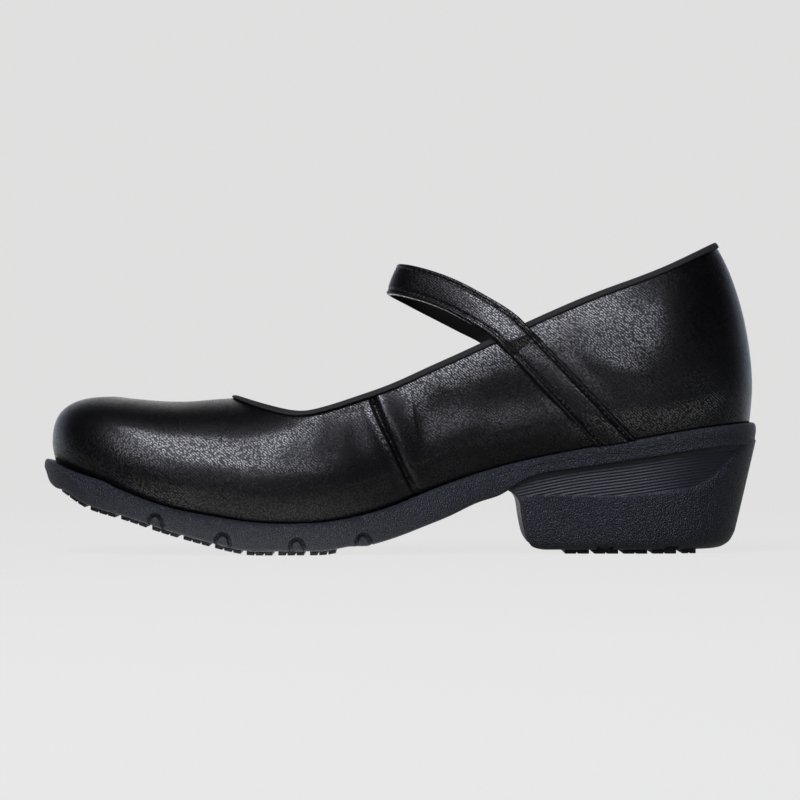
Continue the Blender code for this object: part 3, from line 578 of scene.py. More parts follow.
def place(points):
    """The frame's place, in metres, of points of the drawing."""
    return (np.asarray(points) - CENTRE) * MILLIMETRE


def drawn(corners):
    """Points of the drawing at which mesh corners lie."""
    return np.array([corner.co for corner in corners]) / MILLIMETRE + CENTRE


def shaped_grid(points, along=None, across=None):
    """Grid whose corners go to points[column, row]; edges that meet are welded later.

    The UV map holds the distance along each column and across each row, where both are given.
    """
    columns, rows = points.shape[:2]
    bm = bmesh.new()
    run = bm.loops.layers.uv.new("run")
    bmesh.ops.create_grid(bm, x_segments=columns - 1, y_segments=rows - 1, size=1.0, calc_uvs=True)
    placed = place(points)
    for corner in bm.verts:
        column = round((corner.co.x + 1.0) / 2 * (columns - 1))
        row = round((corner.co.y + 1.0) / 2 * (rows - 1))
        corner.co = placed[column, row]
    if along is not None:
        for face in bm.faces:
            for loop in face.loops:
                column = round(loop[run].uv.x * (columns - 1))
                row = round(loop[run].uv.y * (rows - 1))
                loop[run].uv = along[column], across[row]
    return bm


def weld(bm):
    """Close the edges that meet, and point the faces outwards."""
    bmesh.ops.remove_doubles(bm, verts=bm.verts, dist=WELD)
    bmesh.ops.dissolve_degenerate(bm, edges=bm.edges, dist=WELD)
    bmesh.ops.recalc_face_normals(bm, faces=bm.faces)


def close_ends(bm):
    """Flat faces over a tube's open ends."""
    bmesh.ops.holes_fill(bm, edges=[edge for edge in bm.edges if edge.is_boundary], sides=0)
    bmesh.ops.recalc_face_normals(bm, faces=bm.faces)


def add_piece(name, bm, materials, node, sharp_degrees):
    """New smooth-shaded piece that rides on the shoe in the place of its CAD node."""
    for face in bm.faces:
        face.smooth = True
    mesh = bpy.data.meshes.new(name)
    bm.to_mesh(mesh)
    bm.free()
    mesh.set_sharp_from_angle(angle=math.radians(sharp_degrees))
    for material in materials:
        mesh.materials.append(material)
    piece = bpy.data.objects.new(name, mesh)
    bpy.context.scene.collection.objects.link(piece)
    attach(piece, "root")
    if node:
        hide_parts(node)
    return piece


def collar_turns():
    """Turns from the throat to the back of the heel, close together where the collar turns in front."""
    start = throat_turn + THROAT_RUN
    near = throat_turn + THROAT_RUN * (np.arange(THROAT_COLUMNS) / THROAT_COLUMNS) ** 2
    rear = np.linspace(start, HALF_TURN, round((HALF_TURN - start) / COLUMN_PITCH))
    return np.concatenate((near, rear))


def upper_turns():
    """Turns of the upper's columns all round, close together at the seam."""
    collar = collar_turns()
    inner = -collar[::-1]
    seam = np.arange(-seam_turn - SEAM_ZONE, -seam_turn + SEAM_ZONE, SEAM_PITCH)
    inner = np.sort(np.concatenate((inner[np.abs(inner + seam_turn) > SEAM_ZONE], seam)))
    front = np.linspace(-throat_turn, throat_turn, round(2 * throat_turn / COLUMN_PITCH))[1:-1]
    return np.concatenate((inner, front, collar))


def crease_lift(points, crease):
    """Lift of one crease, with soft ends."""
    start = np.array((crease.start_station, crease.start_height))
    end = np.array((crease.end_station, crease.end_height))
    run = end - start
    spots = points[:, (0, 2)] - start
    share = np.clip(spots @ run / (run @ run), 0.0, 1.0)
    apart = np.linalg.norm(spots - share[:, None] * run, axis=-1)
    ends = lifted(CREASE_END_SHARE, np.sqrt(np.clip(4.0 * share * (1.0 - share), 0.0, 1.0)))
    on_side = points[:, 1] * crease.side > 0.0
    return -crease.depth * np.exp(-(apart / crease.width) ** 2) * ends * on_side


def leather_lift(points):
    """How far the leather stands off the last: side seam, its puckers, creases and slight unevenness."""
    station, offset, height = points.T
    fade = eased((feather(station) + collar_rise(station) - height) / COLLAR_FADE)
    foot = eased((height - feather(station)) / SEAM_FOOT)
    behind = station - seam_station(height)
    folds = seam_lift(behind) * lifted(SEAM_COLLAR_SHARE, fade) * lifted(SEAM_FOOT_SHARE, foot)
    pull = np.cos(2 * np.pi * height / PUCKER_PITCH)
    puckers = PUCKER_LIFT * pull * np.exp(-((np.abs(behind) - PUCKER_APART) / PUCKER_REACH) ** 2)
    lift = (folds + puckers * fade) * (offset < 0.0)
    for crease in CREASES:
        lift += crease_lift(points, crease) * fade
    uneven = np.array([noise.noise(Vector(point) / UNEVEN_SPAN) for point in points])
    return lift + UNEVEN_LIFT * uneven * fade


def build_upper(leather, lining):
    """Lasted shell of vamp and quarter with its lining."""
    turns = upper_turns()
    tops = collar_level(turns)
    shares = np.linspace(0.0, 1.0, UPPER_TRIALS)
    levels = np.empty((len(turns), UPPER_ROWS))
    for column, (turn, top) in enumerate(zip(turns, tops)):
        trial = shares * top
        reach = travel(last_point(turn, trial))
        levels[column] = np.interp(np.linspace(0.0, reach[-1], UPPER_ROWS), reach, trial)
    bm = shaped_grid(last_point(turns[:, None], levels))
    weld(bm)
    bm.normal_update()
    for corner, lift in zip(bm.verts, leather_lift(drawn(bm.verts))):
        corner.co += corner.normal * float(lift) * MILLIMETRE
    upper = add_piece("upper_leather", bm, (leather, lining), "upper", 60.0)
    wall = upper.modifiers.new("wall", "SOLIDIFY")
    wall.thickness = UPPER_WALL * MILLIMETRE
    wall.offset = -1.0
    wall.use_even_offset = False
    wall.material_offset = 1


def spread(plan, height):
    """Points from places in plan and a height for each."""
    return stack(plan[..., 0], plan[..., 1], height)


def arch_turns():
    """Turns at which the arched grooves stand, on both sides."""
    return [side * rim_turn(station, ARCH_FOOT_INSET) for station in ARCH_STATIONS for side in (-1, 1)]


def sole_turns():
    """Turns of the sole's columns all round, close together at the arched grooves."""
    turns = np.linspace(-HALF_TURN, HALF_TURN, round(2 * HALF_TURN / SOLE_PITCH))
    for arch in arch_turns():
        turns = turns[np.abs(turns - arch) > ARCH_ZONE]
        turns = np.concatenate((turns, np.arange(arch - ARCH_ZONE, arch + ARCH_ZONE, ARCH_PITCH)))
    return np.sort(turns)


def sidewall_rows(turns):
    """Rows of the sidewall from the rim's top to the walking face."""
    controls = []
    over_heel = (rim(turns, 0.0)[:, 0] - HEEL_BAND_START) / (HEEL_BAND_FULL - HEEL_BAND_START)
    for index, wall in enumerate(SIDEWALL):
        plan = rim(turns, wall.inset + (wall.heel_inset - wall.inset) * np.clip(over_heel, 0.0, 1.0))
        if wall.above_base is None:
            bumper = BUMPER_RISE * BUMPER_ROWS[index] * eased((BUMPER_END - plan[:, 0]) / BUMPER_RUN)
            height = feather(plan[:, 0]) - GAP - wall.below_top + bumper
        else:
            height = base(plan[:, 0]) + wall.above_base
        controls.append(spread(plan, height))
    weights = resample(SIDEWALL_SPANS, SOLE_ROWS)
    return np.einsum("rk,kcx->crx", weights, np.array(controls))


def arch_grooves(turns, rows):
    """Sink the arched grooves into the sidewall's rows, square to the tread where they stand."""
    for turn in arch_turns():
        foot = rim(turn, ARCH_FOOT_INSET)
        out = np.append(outward(turn), 0.0)
        rise = (base(foot[0] + 1.0) - base(foot[0] - 1.0)) / 2
        along = np.cross(np.array((0.0, 0.0, 1.0)), out)
        along = unit(along + np.array((0.0, 0.0, rise * np.sign(along[0]))))
        along = along * np.sign(along[0])
        up = np.cross(along, out)
        up = up * np.sign(up[2])
        along, up = (
            along * math.cos(ARCH_LEAN) + up * math.sin(ARCH_LEAN),
            up * math.cos(ARCH_LEAN) - along * math.sin(ARCH_LEAN))
        near = np.abs(turns - turn) < ARCH_ZONE
        spots = rows[near] - spread(foot, base(foot[0]))
        radius = np.hypot(spots @ along, np.maximum(spots @ up - ARCH_RISE, 0.0))
        groove = eased((radius - ARCH_INNER) / ARCH_SOFT) * eased((ARCH_OUTER - radius) / ARCH_SOFT)
        rows[near] -= ARCH_DEPTH * groove[..., None] * out
    return rows


def across_face(edge, middle, shares, height):
    """Rows across a face from its edge to its middle line, at the height that each station has."""
    rows = [edge + (middle - edge) * share for share in shares]
    for row in rows:
        row[:, 2] = height(row[:, 0])
    return rows


def build_sole_plate(rubber):
    """Sole plate from toe to heel: platform, rim with its toe bumper, sidewall and walking face."""
    turns = sole_turns()
    plain = sidewall_rows(turns)
    middle = (plain + sidewall_rows(-turns)) / 2
    wall = arch_grooves(turns, plain.copy())
    over = across_face(wall[:, 0], middle[:, 0], PLATFORM_SHARES, lambda station: feather(station) - GAP)
    under = across_face(wall[:, -1], middle[:, -1], BASE_SHARES, base)
    rows = np.concatenate((np.array(over).swapaxes(0, 1), wall, np.array(under).swapaxes(0, 1)), axis=1)
    bm = shaped_grid(rows)
    weld(bm)
    add_piece("sole_plate", bm, (rubber,), "outsole", 50.0)


Layer = namedtuple("Layer", "drop level height foot")


def heel_layers():
    """Layers of the heel block from inside the sole down to the floor.

    Each has its drop below the ledge, its share of levelling, its height when level, and its rounding.
    """
    last_drop = RIB_START + RIB_PITCH * RIB_COUNT
    heights = [foot.height for foot in HEEL_FOOT]
    rows = np.arange(len(heights))
    height = smooth(rows, heights)
    inset = smooth(rows, [foot.inset for foot in HEEL_FOOT])
    drops = [-HEEL_TOP_OVERLAP, *np.arange(0.0, last_drop, HEEL_ROW_PITCH)]
    layers = [Layer(drop, 0.0, 0.0, 0.0) for drop in drops]
    layers += [Layer(last_drop, level, heights[0], 0.0) for level in np.linspace(0.0, 1.0, HEEL_LEVEL_ROWS)]
    steps = np.linspace(0.0, rows[-1], HEEL_FOOT_ROWS)[1:]
    layers += [Layer(last_drop, 1.0, float(height(step)), float(inset(step))) for step in steps]
    return layers


def heel_ring(layer):
    """Outline of the heel block at one layer, and how much of it is panel.

    It runs along the inner side, round the back and along the outer side, and closes over the breast.
    """

    def height(station):
        sloped = ledge(station) - layer.drop
        return sloped + (layer.height - sloped) * layer.level

    front = HEEL_FRONT
    for _ in range(SETTLE_ROUNDS):
        front = (front + breast_station(height(front))) / 2
    start = rim_turn(front, HEEL_STEP_IN)
    shares = np.linspace(0.0, 1.0, HEEL_COLUMNS + 1) ** HEEL_CROWDING
    is_corner = shares < HEEL_CORNER_SHARE
    has_panel = layer.level == 0.0 and layer.drop >= 0.0
    rib = 0.5 - 0.5 * math.cos(2 * math.pi * (layer.drop - RIB_START) / RIB_PITCH)
    depth = PANEL_DEPTH + RIB_DEPTH * (rib if layer.drop > RIB_START else 0.0)
    notch = NOTCH_DEPTH * eased((NOTCH_TOP - layer.height) / NOTCH_TOP_SOFT) * (layer.level == 1.0)
    sides = []
    panels = []
    for side in (-1, 1):
        turn = side * (start + (HALF_TURN - start) * shares)
        back = np.abs(outward(turn)[:, 0])
        station = rim(turn, HEEL_STEP_IN)[:, 0]
        taper = HEEL_SIDE_TAPER + (HEEL_BACK_TAPER - HEEL_SIDE_TAPER) * back
        inset = HEEL_STEP_IN - HEEL_BACK_FLUSH * back + layer.foot * (1.0 + back)
        inset = inset + taper * (ledge(station) - height(station))
        edge = PANEL_EDGE + PANEL_BACK_SOFT * eased((station - PANEL_BACK) / PANEL_BACK_RUN)
        covered = eased((panel_height(station) - layer.drop) / edge) * has_panel
        from_corner = np.clip(1.0 - np.abs(station - front) / HEEL_CORNER, 0.0, 1.0)
        corner = HEEL_CORNER * (1.0 - np.sqrt(1.0 - from_corner ** 2)) * is_corner
        apart = np.min([np.abs(station - middle) for middle in NOTCH_STATIONS], axis=0)
        notched = notch * eased((NOTCH_HALF - apart) / NOTCH_SIDE_SOFT)
        plan = rim(turn, inset + covered * depth + corner + notched)
        plan[:, 0] = np.where(is_corner, np.maximum(plan[:, 0], front), plan[:, 0])
        sides.append(spread(plan, height(plan[:, 0])))
        panels.append(covered)
    inner, outer = sides
    share = (np.arange(1, BREAST_COLUMNS) / BREAST_COLUMNS)[:, None]
    breast = outer[0] + (inner[0] - outer[0]) * share
    breast[:, 0] += BREAST_HOLLOW * (1.0 - (2.0 * share[:, 0] - 1.0) ** 2)
    breast[:, 2] = height(breast[:, 0])
    ring = np.concatenate((inner, outer[-2::-1], breast, inner[:1]))
    panel = np.concatenate((panels[0], panels[1][-2::-1], np.zeros(BREAST_COLUMNS - 1), panels[0][:1]))
    return ring, panel


def build_heel(rubber):
    """Heel block with its ribbed panel, hollow breast, rounded foot and the notches above its tread."""
    rings, panels = zip(*[heel_ring(layer) for layer in heel_layers()])
    rings = np.array(rings)
    panels = np.array(panels)
    bm = shaped_grid(rings, np.arange(len(rings)), np.arange(rings.shape[1]))
    run = bm.loops.layers.uv["run"]
    panel = bm.verts.layers.float.new("panel")
    for face in bm.faces:
        for loop in face.loops:
            loop.vert[panel] = panels[round(loop[run].uv.x), round(loop[run].uv.y)]
    weld(bm)
    close_ends(bm)
    add_piece("sole_heel", bm, (rubber,), "outsole", 40.0)


def lug_block(bm, corners, roots):
    """One tread block with its foot at the corners and its root sunk in the sole."""
    made = bmesh.ops.create_cube(bm, size=1.0)
    for corner in made["verts"]:
        index = (corner.co.x > 0.0) * 2 + (corner.co.y > 0.0)
        corner.co = place(roots[index] if corner.co.z > 0.0 else corners[index])
    edges = list({edge for corner in made["verts"] for edge in corner.link_edges})
    bmesh.ops.bevel(
        bm, geom=edges, offset=LUG_BEVEL * MILLIMETRE, affect="EDGES", segments=1, profile=0.5, material=-1)


def lug_ends(lugs, station, block, foot, is_heel):
    """Both ends of a block across the sole at a station: at its foot and at its root."""
    turn = rim_turn(station, lugs.margin)
    low = rim(-turn, lugs.margin)[1]
    high = rim(turn, lugs.margin)[1]
    floor = 0.0 if is_heel else tread(station)
    root = (LUG_HEIGHT if is_heel else base(station)) + LUG_ROOT
    corners = []
    roots = []
    for side in (0, 1):
        offset = low + (high - low) * (block + side) / lugs.across + LUG_CHANNEL / 2 * (1 - 2 * side)
        corners.append((station, offset, floor + foot))
        roots.append((station, offset, root))
    return corners, roots


def build_tread(rubber):
    """Tread lugs in rows, each a block whose foot is cut into ribs by fine sipes."""
    bm = bmesh.new()
    for lugs, is_heel in ((FOREFOOT_LUGS, False), (HEEL_LUGS, True), (BACK_LUGS, True)):
        rib = (lugs.length - lugs.sipes * SIPE_WIDTH) / (lugs.sipes + 1)
        for row in range(lugs.rows):
            start = lugs.first + lugs.pitch * row
            spans = [(start, start + lugs.length, SIPE_DEPTH)]
            for index in range(lugs.sipes + 1):
                begin = start + (rib + SIPE_WIDTH) * index
                spans.append((begin, begin + rib, 0.0))
            for begin, end, foot in spans:
                for block in range(lugs.across):
                    near = lug_ends(lugs, begin, block, foot, is_heel)
                    far = lug_ends(lugs, end, block, foot, is_heel)
                    lug_block(bm, near[0] + far[0], near[1] + far[1])
    bmesh.ops.recalc_face_normals(bm, faces=bm.faces)
    add_piece("sole_tread", bm, (rubber,), "outsole", 30.0)


def build_insole(cloth):
    """Sock board inside the upper, with a rounded edge."""
    turns = np.linspace(-HALF_TURN, HALF_TURN, round(2 * HALF_TURN / INSOLE_PITCH))

    def low(station):
        return feather(station) + INSOLE_GAP

    def high(station):
        return low(station) + INSOLE_THICKNESS

    def row(turn, inset, rise):
        plan = outline(turn, -tuck(turn) - INSOLE_MARGIN - inset)
        return spread(plan, low(plan[:, 0]) + rise)

    edge = [row(turns, 0.0, 0.0)]
    for angle in np.linspace(0.0, np.pi / 2, INSOLE_EDGE_ROWS):
        inset = INSOLE_ROUND * (1.0 - math.cos(angle))
        edge.append(row(turns, inset, INSOLE_THICKNESS - INSOLE_ROUND * (1.0 - math.sin(angle))))
    low_middle = (edge[0] + row(-turns, 0.0, 0.0)) / 2
    high_middle = (row(turns, INSOLE_ROUND, 0.0) + row(-turns, INSOLE_ROUND, 0.0)) / 2
    under = across_face(edge[0], low_middle, (1.0, 0.5), low)
    over = across_face(edge[-1], high_middle, np.linspace(0.0, 1.0, INSOLE_TOP_ROWS)[1:], high)
    bm = shaped_grid(np.array(under + edge + over).swapaxes(0, 1))
    weld(bm)
    add_piece("sock_insole", bm, (cloth,), "insole", 50.0)


def build_binding(textile):
    """Textile binding folded over the collar edge, swept round the opening."""
    collar = collar_turns()
    turns = np.concatenate((collar, -collar[-2:0:-1]))
    levels = collar_level(turns)
    edge = last_point(turns, levels)
    out = last_normal(turns, np.minimum(levels, BINDING_TOP))
    out[0] = 0.0, 0.0, 1.0
    ahead = unit(np.roll(edge, -1, axis=0) - np.roll(edge, 1, axis=0))
    up = unit(np.cross(ahead, out))
    loop = np.concatenate((edge, edge[:1]))
    along = travel(loop)
    reach = along[:-1]
    wave = np.sin(2 * np.pi * reach / BINDING_WAVE_SPAN) * np.cos(reach / BINDING_WAVE_DRIFT)
    at_back = eased((edge[:, 0] - BINDING_BACK) / (SOLE_LENGTH - BINDING_BACK))[:, None]
    rings = []
    for row in BINDING:
        rise = row.up + BINDING_WAVE * wave * (row.up < BINDING_WAVE_BELOW)
        stand = row.out - BINDING_BACK_FLAT * max(row.out - GAP, 0.0) * at_back
        rings.append(edge + out * stand + up * rise[:, None])
    rings = np.array(rings + rings[:1]).swapaxes(0, 1)
    rings = np.concatenate((rings, rings[:1]))
    across = travel(np.array([(row.out, row.up) for row in BINDING + BINDING[:1]]))
    bm = shaped_grid(rings, along, across)
    weld(bm)
    add_piece("collar_binding", bm, (textile,), "topline_binding", 60.0)


def wall_spot(side, station, height):
    """Turn and level at which the upper's outer face shows at places in side view."""
    turn = solve(wide_station, 0.0, HALF_TURN, station)
    level = np.ones_like(turn)
    for _ in range(SETTLE_ROUNDS):
        level = solve(lambda at: last_point(side * turn, at)[..., 2], 0.0, WALL_TOP, height)
        miss = station - last_point(side * turn, level)[..., 0]
        turn = np.minimum(turn + miss, HALF_TURN)
    return side * turn, level


def run_surface(side, run, shares):
    """Underside of the strap laid on the quarter from the collar to the sole, its normals and distances."""
    top = np.array((run.top_station, run.top_height))
    along = unit(np.array((run.low_station, run.low_height)) - top)
    across = np.array((-along[1], along[0]))
    start = top + across * STRAP_ACROSS[:, None] * STRAP_WIDTH / 2

    def gap_below(distance):
        spot = start + along * distance[:, None]
        return feather(spot[:, 0]) + STRAP_FOOT_GAP - spot[:, 1]

    length = solve(gap_below, np.zeros(len(start)), np.full(len(start), STRAP_REACH))
    distance = length * shares[:, None]
    spot = start + along * distance[..., None]
    turn, level = wall_spot(side, spot[..., 0], spot[..., 1])
    point = last_point(turn, level)
    normal = last_normal(turn, level)
    below = feather(point[..., 0]) + collar_rise(point[..., 0]) - point[..., 2]
    rise = STRAP_RISE * np.clip((STRAP_RISE_END - below) / STRAP_RISE_RUN, 0.0, 1.0)
    level_out = unit(normal * np.array((1.0, 1.0, 0.0)))
    return point + normal * GAP + level_out * rise[..., None], normal, distance


def strap_loop(inner, outer):
    """Underside of the strap's free loop between its two runs, with its normals."""
    runs = ((-1, INNER_RUN), (1, OUTER_RUN))
    ends = [run_surface(side, run, STRAP_PATH_SHARES)[0][:, STRAP_MIDDLE] for side, run in runs]
    path = np.concatenate((ends[0], [tuple(row) for row in STRAP_LOOP], ends[1][::-1]))
    reach = travel(path)
    curves = [smooth(reach, path[:, axis]) for axis in range(3)]
    on_run = len(STRAP_PATH_SHARES)
    first = reach[on_run - 1]
    last = reach[-on_run]
    apex = reach[on_run + len(STRAP_LOOP) // 2]
    at = np.linspace(first, last, STRAP_LOOP_ROWS)
    point = stack(*[curve(at) for curve in curves])
    tangent = unit(stack(*[curve(at + STRAP_TANGENT) - curve(at - STRAP_TANGENT) for curve in curves]))
    share = eased(np.where(at < apex, (at - first) / (apex - first), (last - at) / (last - apex)))[:, None]
    ends_width = [unit(surface[-1] - surface[0]) for surface in (inner, outer)]
    width = np.where((at < apex)[:, None], ends_width[0], ends_width[1])
    width = width + (STRAP_APEX_WIDTH - width) * share
    width = unit(width - tangent * np.sum(width * tangent, -1, keepdims=True))
    normal = unit(np.cross(width, tangent))
    flat = point[:, None] + width[:, None] * (STRAP_ACROSS * STRAP_WIDTH / 2)[:, None]
    fades = (1.0 - eased((at - first) / STRAP_JOIN), 1.0 - eased((last - at) / STRAP_JOIN))
    for surface, row, fade in ((inner, 0, fades[0]), (outer, -1, fades[1])):
        flat = flat + (surface - flat[row]) * fade[:, None, None]
    return flat, np.broadcast_to(normal[:, None], flat.shape)


def strap_surface():
    """Underside of the whole strap, its normals and its distance below the collar, row by row."""
    shares = np.linspace(0.0, 1.0, STRAP_RUN_ROWS)
    inner, inner_normal, inner_reach = run_surface(-1, INNER_RUN, shares)
    outer, outer_normal, outer_reach = run_surface(1, OUTER_RUN, shares)
    loop, loop_normal = strap_loop(inner[0], outer[0])
    row = np.arange(STRAP_LOOP_ROWS)
    blend = eased(np.minimum(row, row[::-1]) / STRAP_BLEND_ROWS)[:, None, None]
    is_first = (row < STRAP_LOOP_ROWS / 2)[:, None, None]
    end_normal = np.where(is_first, inner_normal[0], outer_normal[0])
    loop_normal = unit(end_normal * (1.0 - blend) + loop_normal * blend)
    under = np.concatenate((inner[::-1], loop[1:-1], outer))
    normal = np.concatenate((inner_normal[::-1], loop_normal[1:-1], outer_normal))
    no_reach = np.zeros((STRAP_LOOP_ROWS - 2, len(STRAP_ACROSS)))
    below = np.concatenate((inner_reach[::-1], no_reach, outer_reach))
    return under, normal, below


def strap_thickness(along, below):
    """Heights of the strap's two faces over its bed: rounded edges, sunk stitch lines, pillow and tack."""
    apart = np.abs(STRAP_ACROSS)
    rounding = np.sqrt(1.0 - np.clip((apart - 1.0 + STRAP_ROUND) / STRAP_ROUND, 0.0, 1.0) ** 2)
    over = STRAP_EDGE_OVER + (STRAP_THICKNESS - STRAP_EDGE_OVER) * rounding
    groove = np.exp(-((apart - STRAP_STITCH_LINE) * STRAP_WIDTH / 2 / STRAP_GROOVE_HALF) ** 2)
    pillow = np.clip(1.0 - (apart / STRAP_STITCH_LINE) ** 2, 0.0, 1.0)
    pull = lifted(STITCH_PULL_SHARE, np.cos(2 * np.pi * along / STITCH_PITCH))
    low = eased((below - STRAP_GROOVE_LOW_START) / STRAP_GROOVE_LOW_RUN)
    sunk = STRAP_GROOVE + STRAP_GROOVE_LOW * low
    over = over + STRAP_PILLOW * pillow - sunk * groove * pull[:, None]
    over = over + tack_lift(below) * eased((1.0 - apart) / TACK_EDGE) * (below > 0.0)
    under = STRAP_EDGE_UNDER * (1.0 - rounding)
    return np.broadcast_to(under, over.shape), over


def build_strap(leather, lining, thread):
    """One strap, lined underneath, sewn down on both quarters and free over the instep; its stitches."""
    surface, normal, below = strap_surface()
    along = travel(surface[:, STRAP_MIDDLE])
    under, over = strap_thickness(along, below)
    low = surface + normal * under[..., None]
    high = surface + normal * over[..., None]
    rings = np.concatenate((low, high[:, ::-1], low[:, :1]), axis=1)
    across = np.concatenate((STRAP_ACROSS, STRAP_ACROSS + STRAP_TOP_ACROSS, (STRAP_CLOSE_ACROSS,)))
    bm = shaped_grid(rings, along, across)
    run = bm.loops.layers.uv["run"]
    for face in bm.faces:
        is_under = max(loop[run].uv.y for loop in face.loops) <= STRAP_ACROSS[-1] + TINY
        face.material_index = int(is_under)
    weld(bm)
    close_ends(bm)
    add_piece("strap_leather", bm, (leather, lining), "instep_strap", 55.0)
    stitches = bmesh.new()
    for line in (-STRAP_STITCH_LINE, STRAP_STITCH_LINE):
        index = int(np.argmin(np.abs(STRAP_ACROSS - line)))
        sew(stitches, high[:, index], normal[:, index])
    add_piece("strap_stitching", stitches, (thread,), None, 60.0)


def sew(bm, line, normals):
    """Stitches sunk along a line on a surface."""
    reach = travel(line)
    size = Vector((STITCH_LENGTH / 2, STITCH_RADIUS, STITCH_RADIUS)) * MILLIMETRE

    def along(values, at):
        return np.array([np.interp(at, reach, values[:, axis]) for axis in range(3)])

    for at in np.arange(STITCH_PITCH, reach[-1] - STITCH_PITCH, STITCH_PITCH):
        point = along(line, at)
        tangent = unit(along(line, at + STITCH_AHEAD) - point)
        normal = along(normals, at)
        normal = unit(normal - tangent * (normal @ tangent))
        turn = Matrix(np.stack((tangent, np.cross(normal, tangent), normal), -1)).to_4x4()
        spot = Matrix.Translation(Vector(place(point - normal * STITCH_SINK)))
        matrix = spot @ turn @ Matrix.Diagonal((*size, 1.0))
        bmesh.ops.create_uvsphere(
            bm, u_segments=STITCH_SIDES, v_segments=STITCH_SIDES, radius=1.0, matrix=matrix)


def node(tree, kind, sockets=(), **settings):
    """New shader node; sockets maps an input's name or number to a value or to another node's output."""
    made = tree.nodes.new(kind)
    for name, value in settings.items():
        setattr(made, name, value)
    for name, value in dict(sockets).items():
        if isinstance(value, bpy.types.NodeSocket):
            tree.links.new(value, made.inputs[name])
        else:
            made.inputs[name].default_value = value
    return made


def maths(tree, operation, first, second=0.0):
    """Result of a Math node."""
    return node(tree, "ShaderNodeMath", {0: first, 1: second}, operation=operation).outputs[0]


def remap(tree, value, low, high, to_low, to_high):
    """Value moved from one range to another, held at its ends."""
    sockets = {"Value": value, "From Min": low, "From Max": high, "To Min": to_low, "To Max": to_high}
    return node(tree, "ShaderNodeMapRange", sockets).outputs["Result"]


def blend_colours(tree, share, first, second):
    """Colour between two, by a share that changes over the surface."""
    mix = node(tree, "ShaderNodeMix", {"Factor": share}, data_type="RGBA")
    for socket, colour in zip([each for each in mix.inputs if each.type == "RGBA"], (first, second)):
        socket.default_value = (*colour, 1.0)
    return next(each for each in mix.outputs if each.type == "RGBA")


def vector_maths(tree, operation, sockets):
    """Result of a Vector Math node."""
    return node(tree, "ShaderNodeVectorMath", sockets, operation=operation).outputs[0]


def object_place(tree):
    """Place on a piece, in metres."""
    return node(tree, "ShaderNodeTexCoord").outputs["Object"]


def mottle(tree, where, scale, detail):
    """Value of a noise texture."""
    sockets = {"Vector": where, "Scale": scale, "Detail": detail}
    return node(tree, "ShaderNodeTexNoise", sockets).outputs["Fac"]


def waves(tree, where, direction, scale, distortion=0.0, detail_scale=1.0):
    """Value of a wave texture with its bands across one axis."""
    sockets = {"Vector": where, "Scale": scale, "Distortion": distortion, "Detail Scale": detail_scale}
    return node(tree, "ShaderNodeTexWave", sockets, bands_direction=direction).outputs["Fac"]


# Ramps move a value from one range to another; noise keeps to 0.3 to 0.7 for the most part
Ramp = namedtuple("Ramp", "start end low high")

# Grain in pebbles: how much broader its drift is, the pebble's form, and the furrow's form and depth
DRIFT_SHARE = 0.3
DRIFT_MIDDLE = (0.5, 0.5, 0.5)
PEBBLE_SMOOTHNESS = 0.4
PEBBLE_FORM = Ramp(0.1, 0.75, 1.0, 0.0)
FURROW_FORM = Ramp(0.0, 0.2, 1.0, 0.0)
FURROW_DEPTH = 0.35


def pebbled_grain():
    """Shader group of close pebbles with furrows between them, for leather and for moulded rubber."""
    group = bpy.data.node_groups.new("pebbled_grain", "ShaderNodeTree")
    group.interface.new_socket("Place", in_out="INPUT", socket_type="NodeSocketVector")
    for name in ("Pebbles per metre", "Wander"):
        group.interface.new_socket(name, in_out="INPUT", socket_type="NodeSocketFloat")
    for name in ("Height", "Furrow"):
        group.interface.new_socket(name, in_out="OUTPUT", socket_type="NodeSocketFloat")
    given = node(group, "NodeGroupInput")
    where = given.outputs["Place"]
    drift_scale = maths(group, "MULTIPLY", given.outputs["Pebbles per metre"], DRIFT_SHARE)
    sockets = {"Vector": where, "Scale": drift_scale, "Detail": 1.0}
    drift = node(group, "ShaderNodeTexNoise", sockets).outputs["Color"]
    centred = vector_maths(group, "SUBTRACT", {0: drift, 1: DRIFT_MIDDLE})
    shift = vector_maths(group, "SCALE", {0: centred, "Scale": given.outputs["Wander"]})
    moved = vector_maths(group, "ADD", {0: where, 1: shift})
    sockets = {"Vector": moved, "Scale": given.outputs["Pebbles per metre"], "Randomness": 1.0}
    cell = node(group, "ShaderNodeTexVoronoi", sockets, feature="DISTANCE_TO_EDGE")
    sockets["Smoothness"] = PEBBLE_SMOOTHNESS
    pebble = node(group, "ShaderNodeTexVoronoi", sockets, feature="SMOOTH_F1")
    round_top = remap(group, pebble.outputs["Distance"], *PEBBLE_FORM)
    furrow = remap(group, cell.outputs["Distance"], *FURROW_FORM)
    sunk = maths(group, "MULTIPLY", furrow, FURROW_DEPTH)
    given_back = node(group, "NodeGroupOutput")
    group.links.new(maths(group, "SUBTRACT", round_top, sunk), given_back.inputs["Height"])
    group.links.new(furrow, given_back.inputs["Furrow"])
    return group


def start_material(name):
    """New material with its tree and shader."""
    material = bpy.data.materials.new(name)
    material.use_nodes = True
    return material, material.node_tree, material.node_tree.nodes["Principled BSDF"]


def add_grain(tree, group, where, pebbles, wander):
    """The pebbled grain placed in a material with its own values."""
    grain = node(tree, "ShaderNodeGroup", node_tree=group)
    tree.links.new(where, grain.inputs["Place"])
    grain.inputs["Pebbles per metre"].default_value = pebbles
    grain.inputs["Wander"].default_value = wander
    return grain


def add_bump(tree, shader, height, strength, distance):
    """Relief of a surface, its distance in millimetres."""
    sockets = {"Height": height, "Strength": strength, "Distance": distance * MILLIMETRE}
    bump = node(tree, "ShaderNodeBump", sockets)
    tree.links.new(bump.outputs["Normal"], shader.inputs["Normal"])


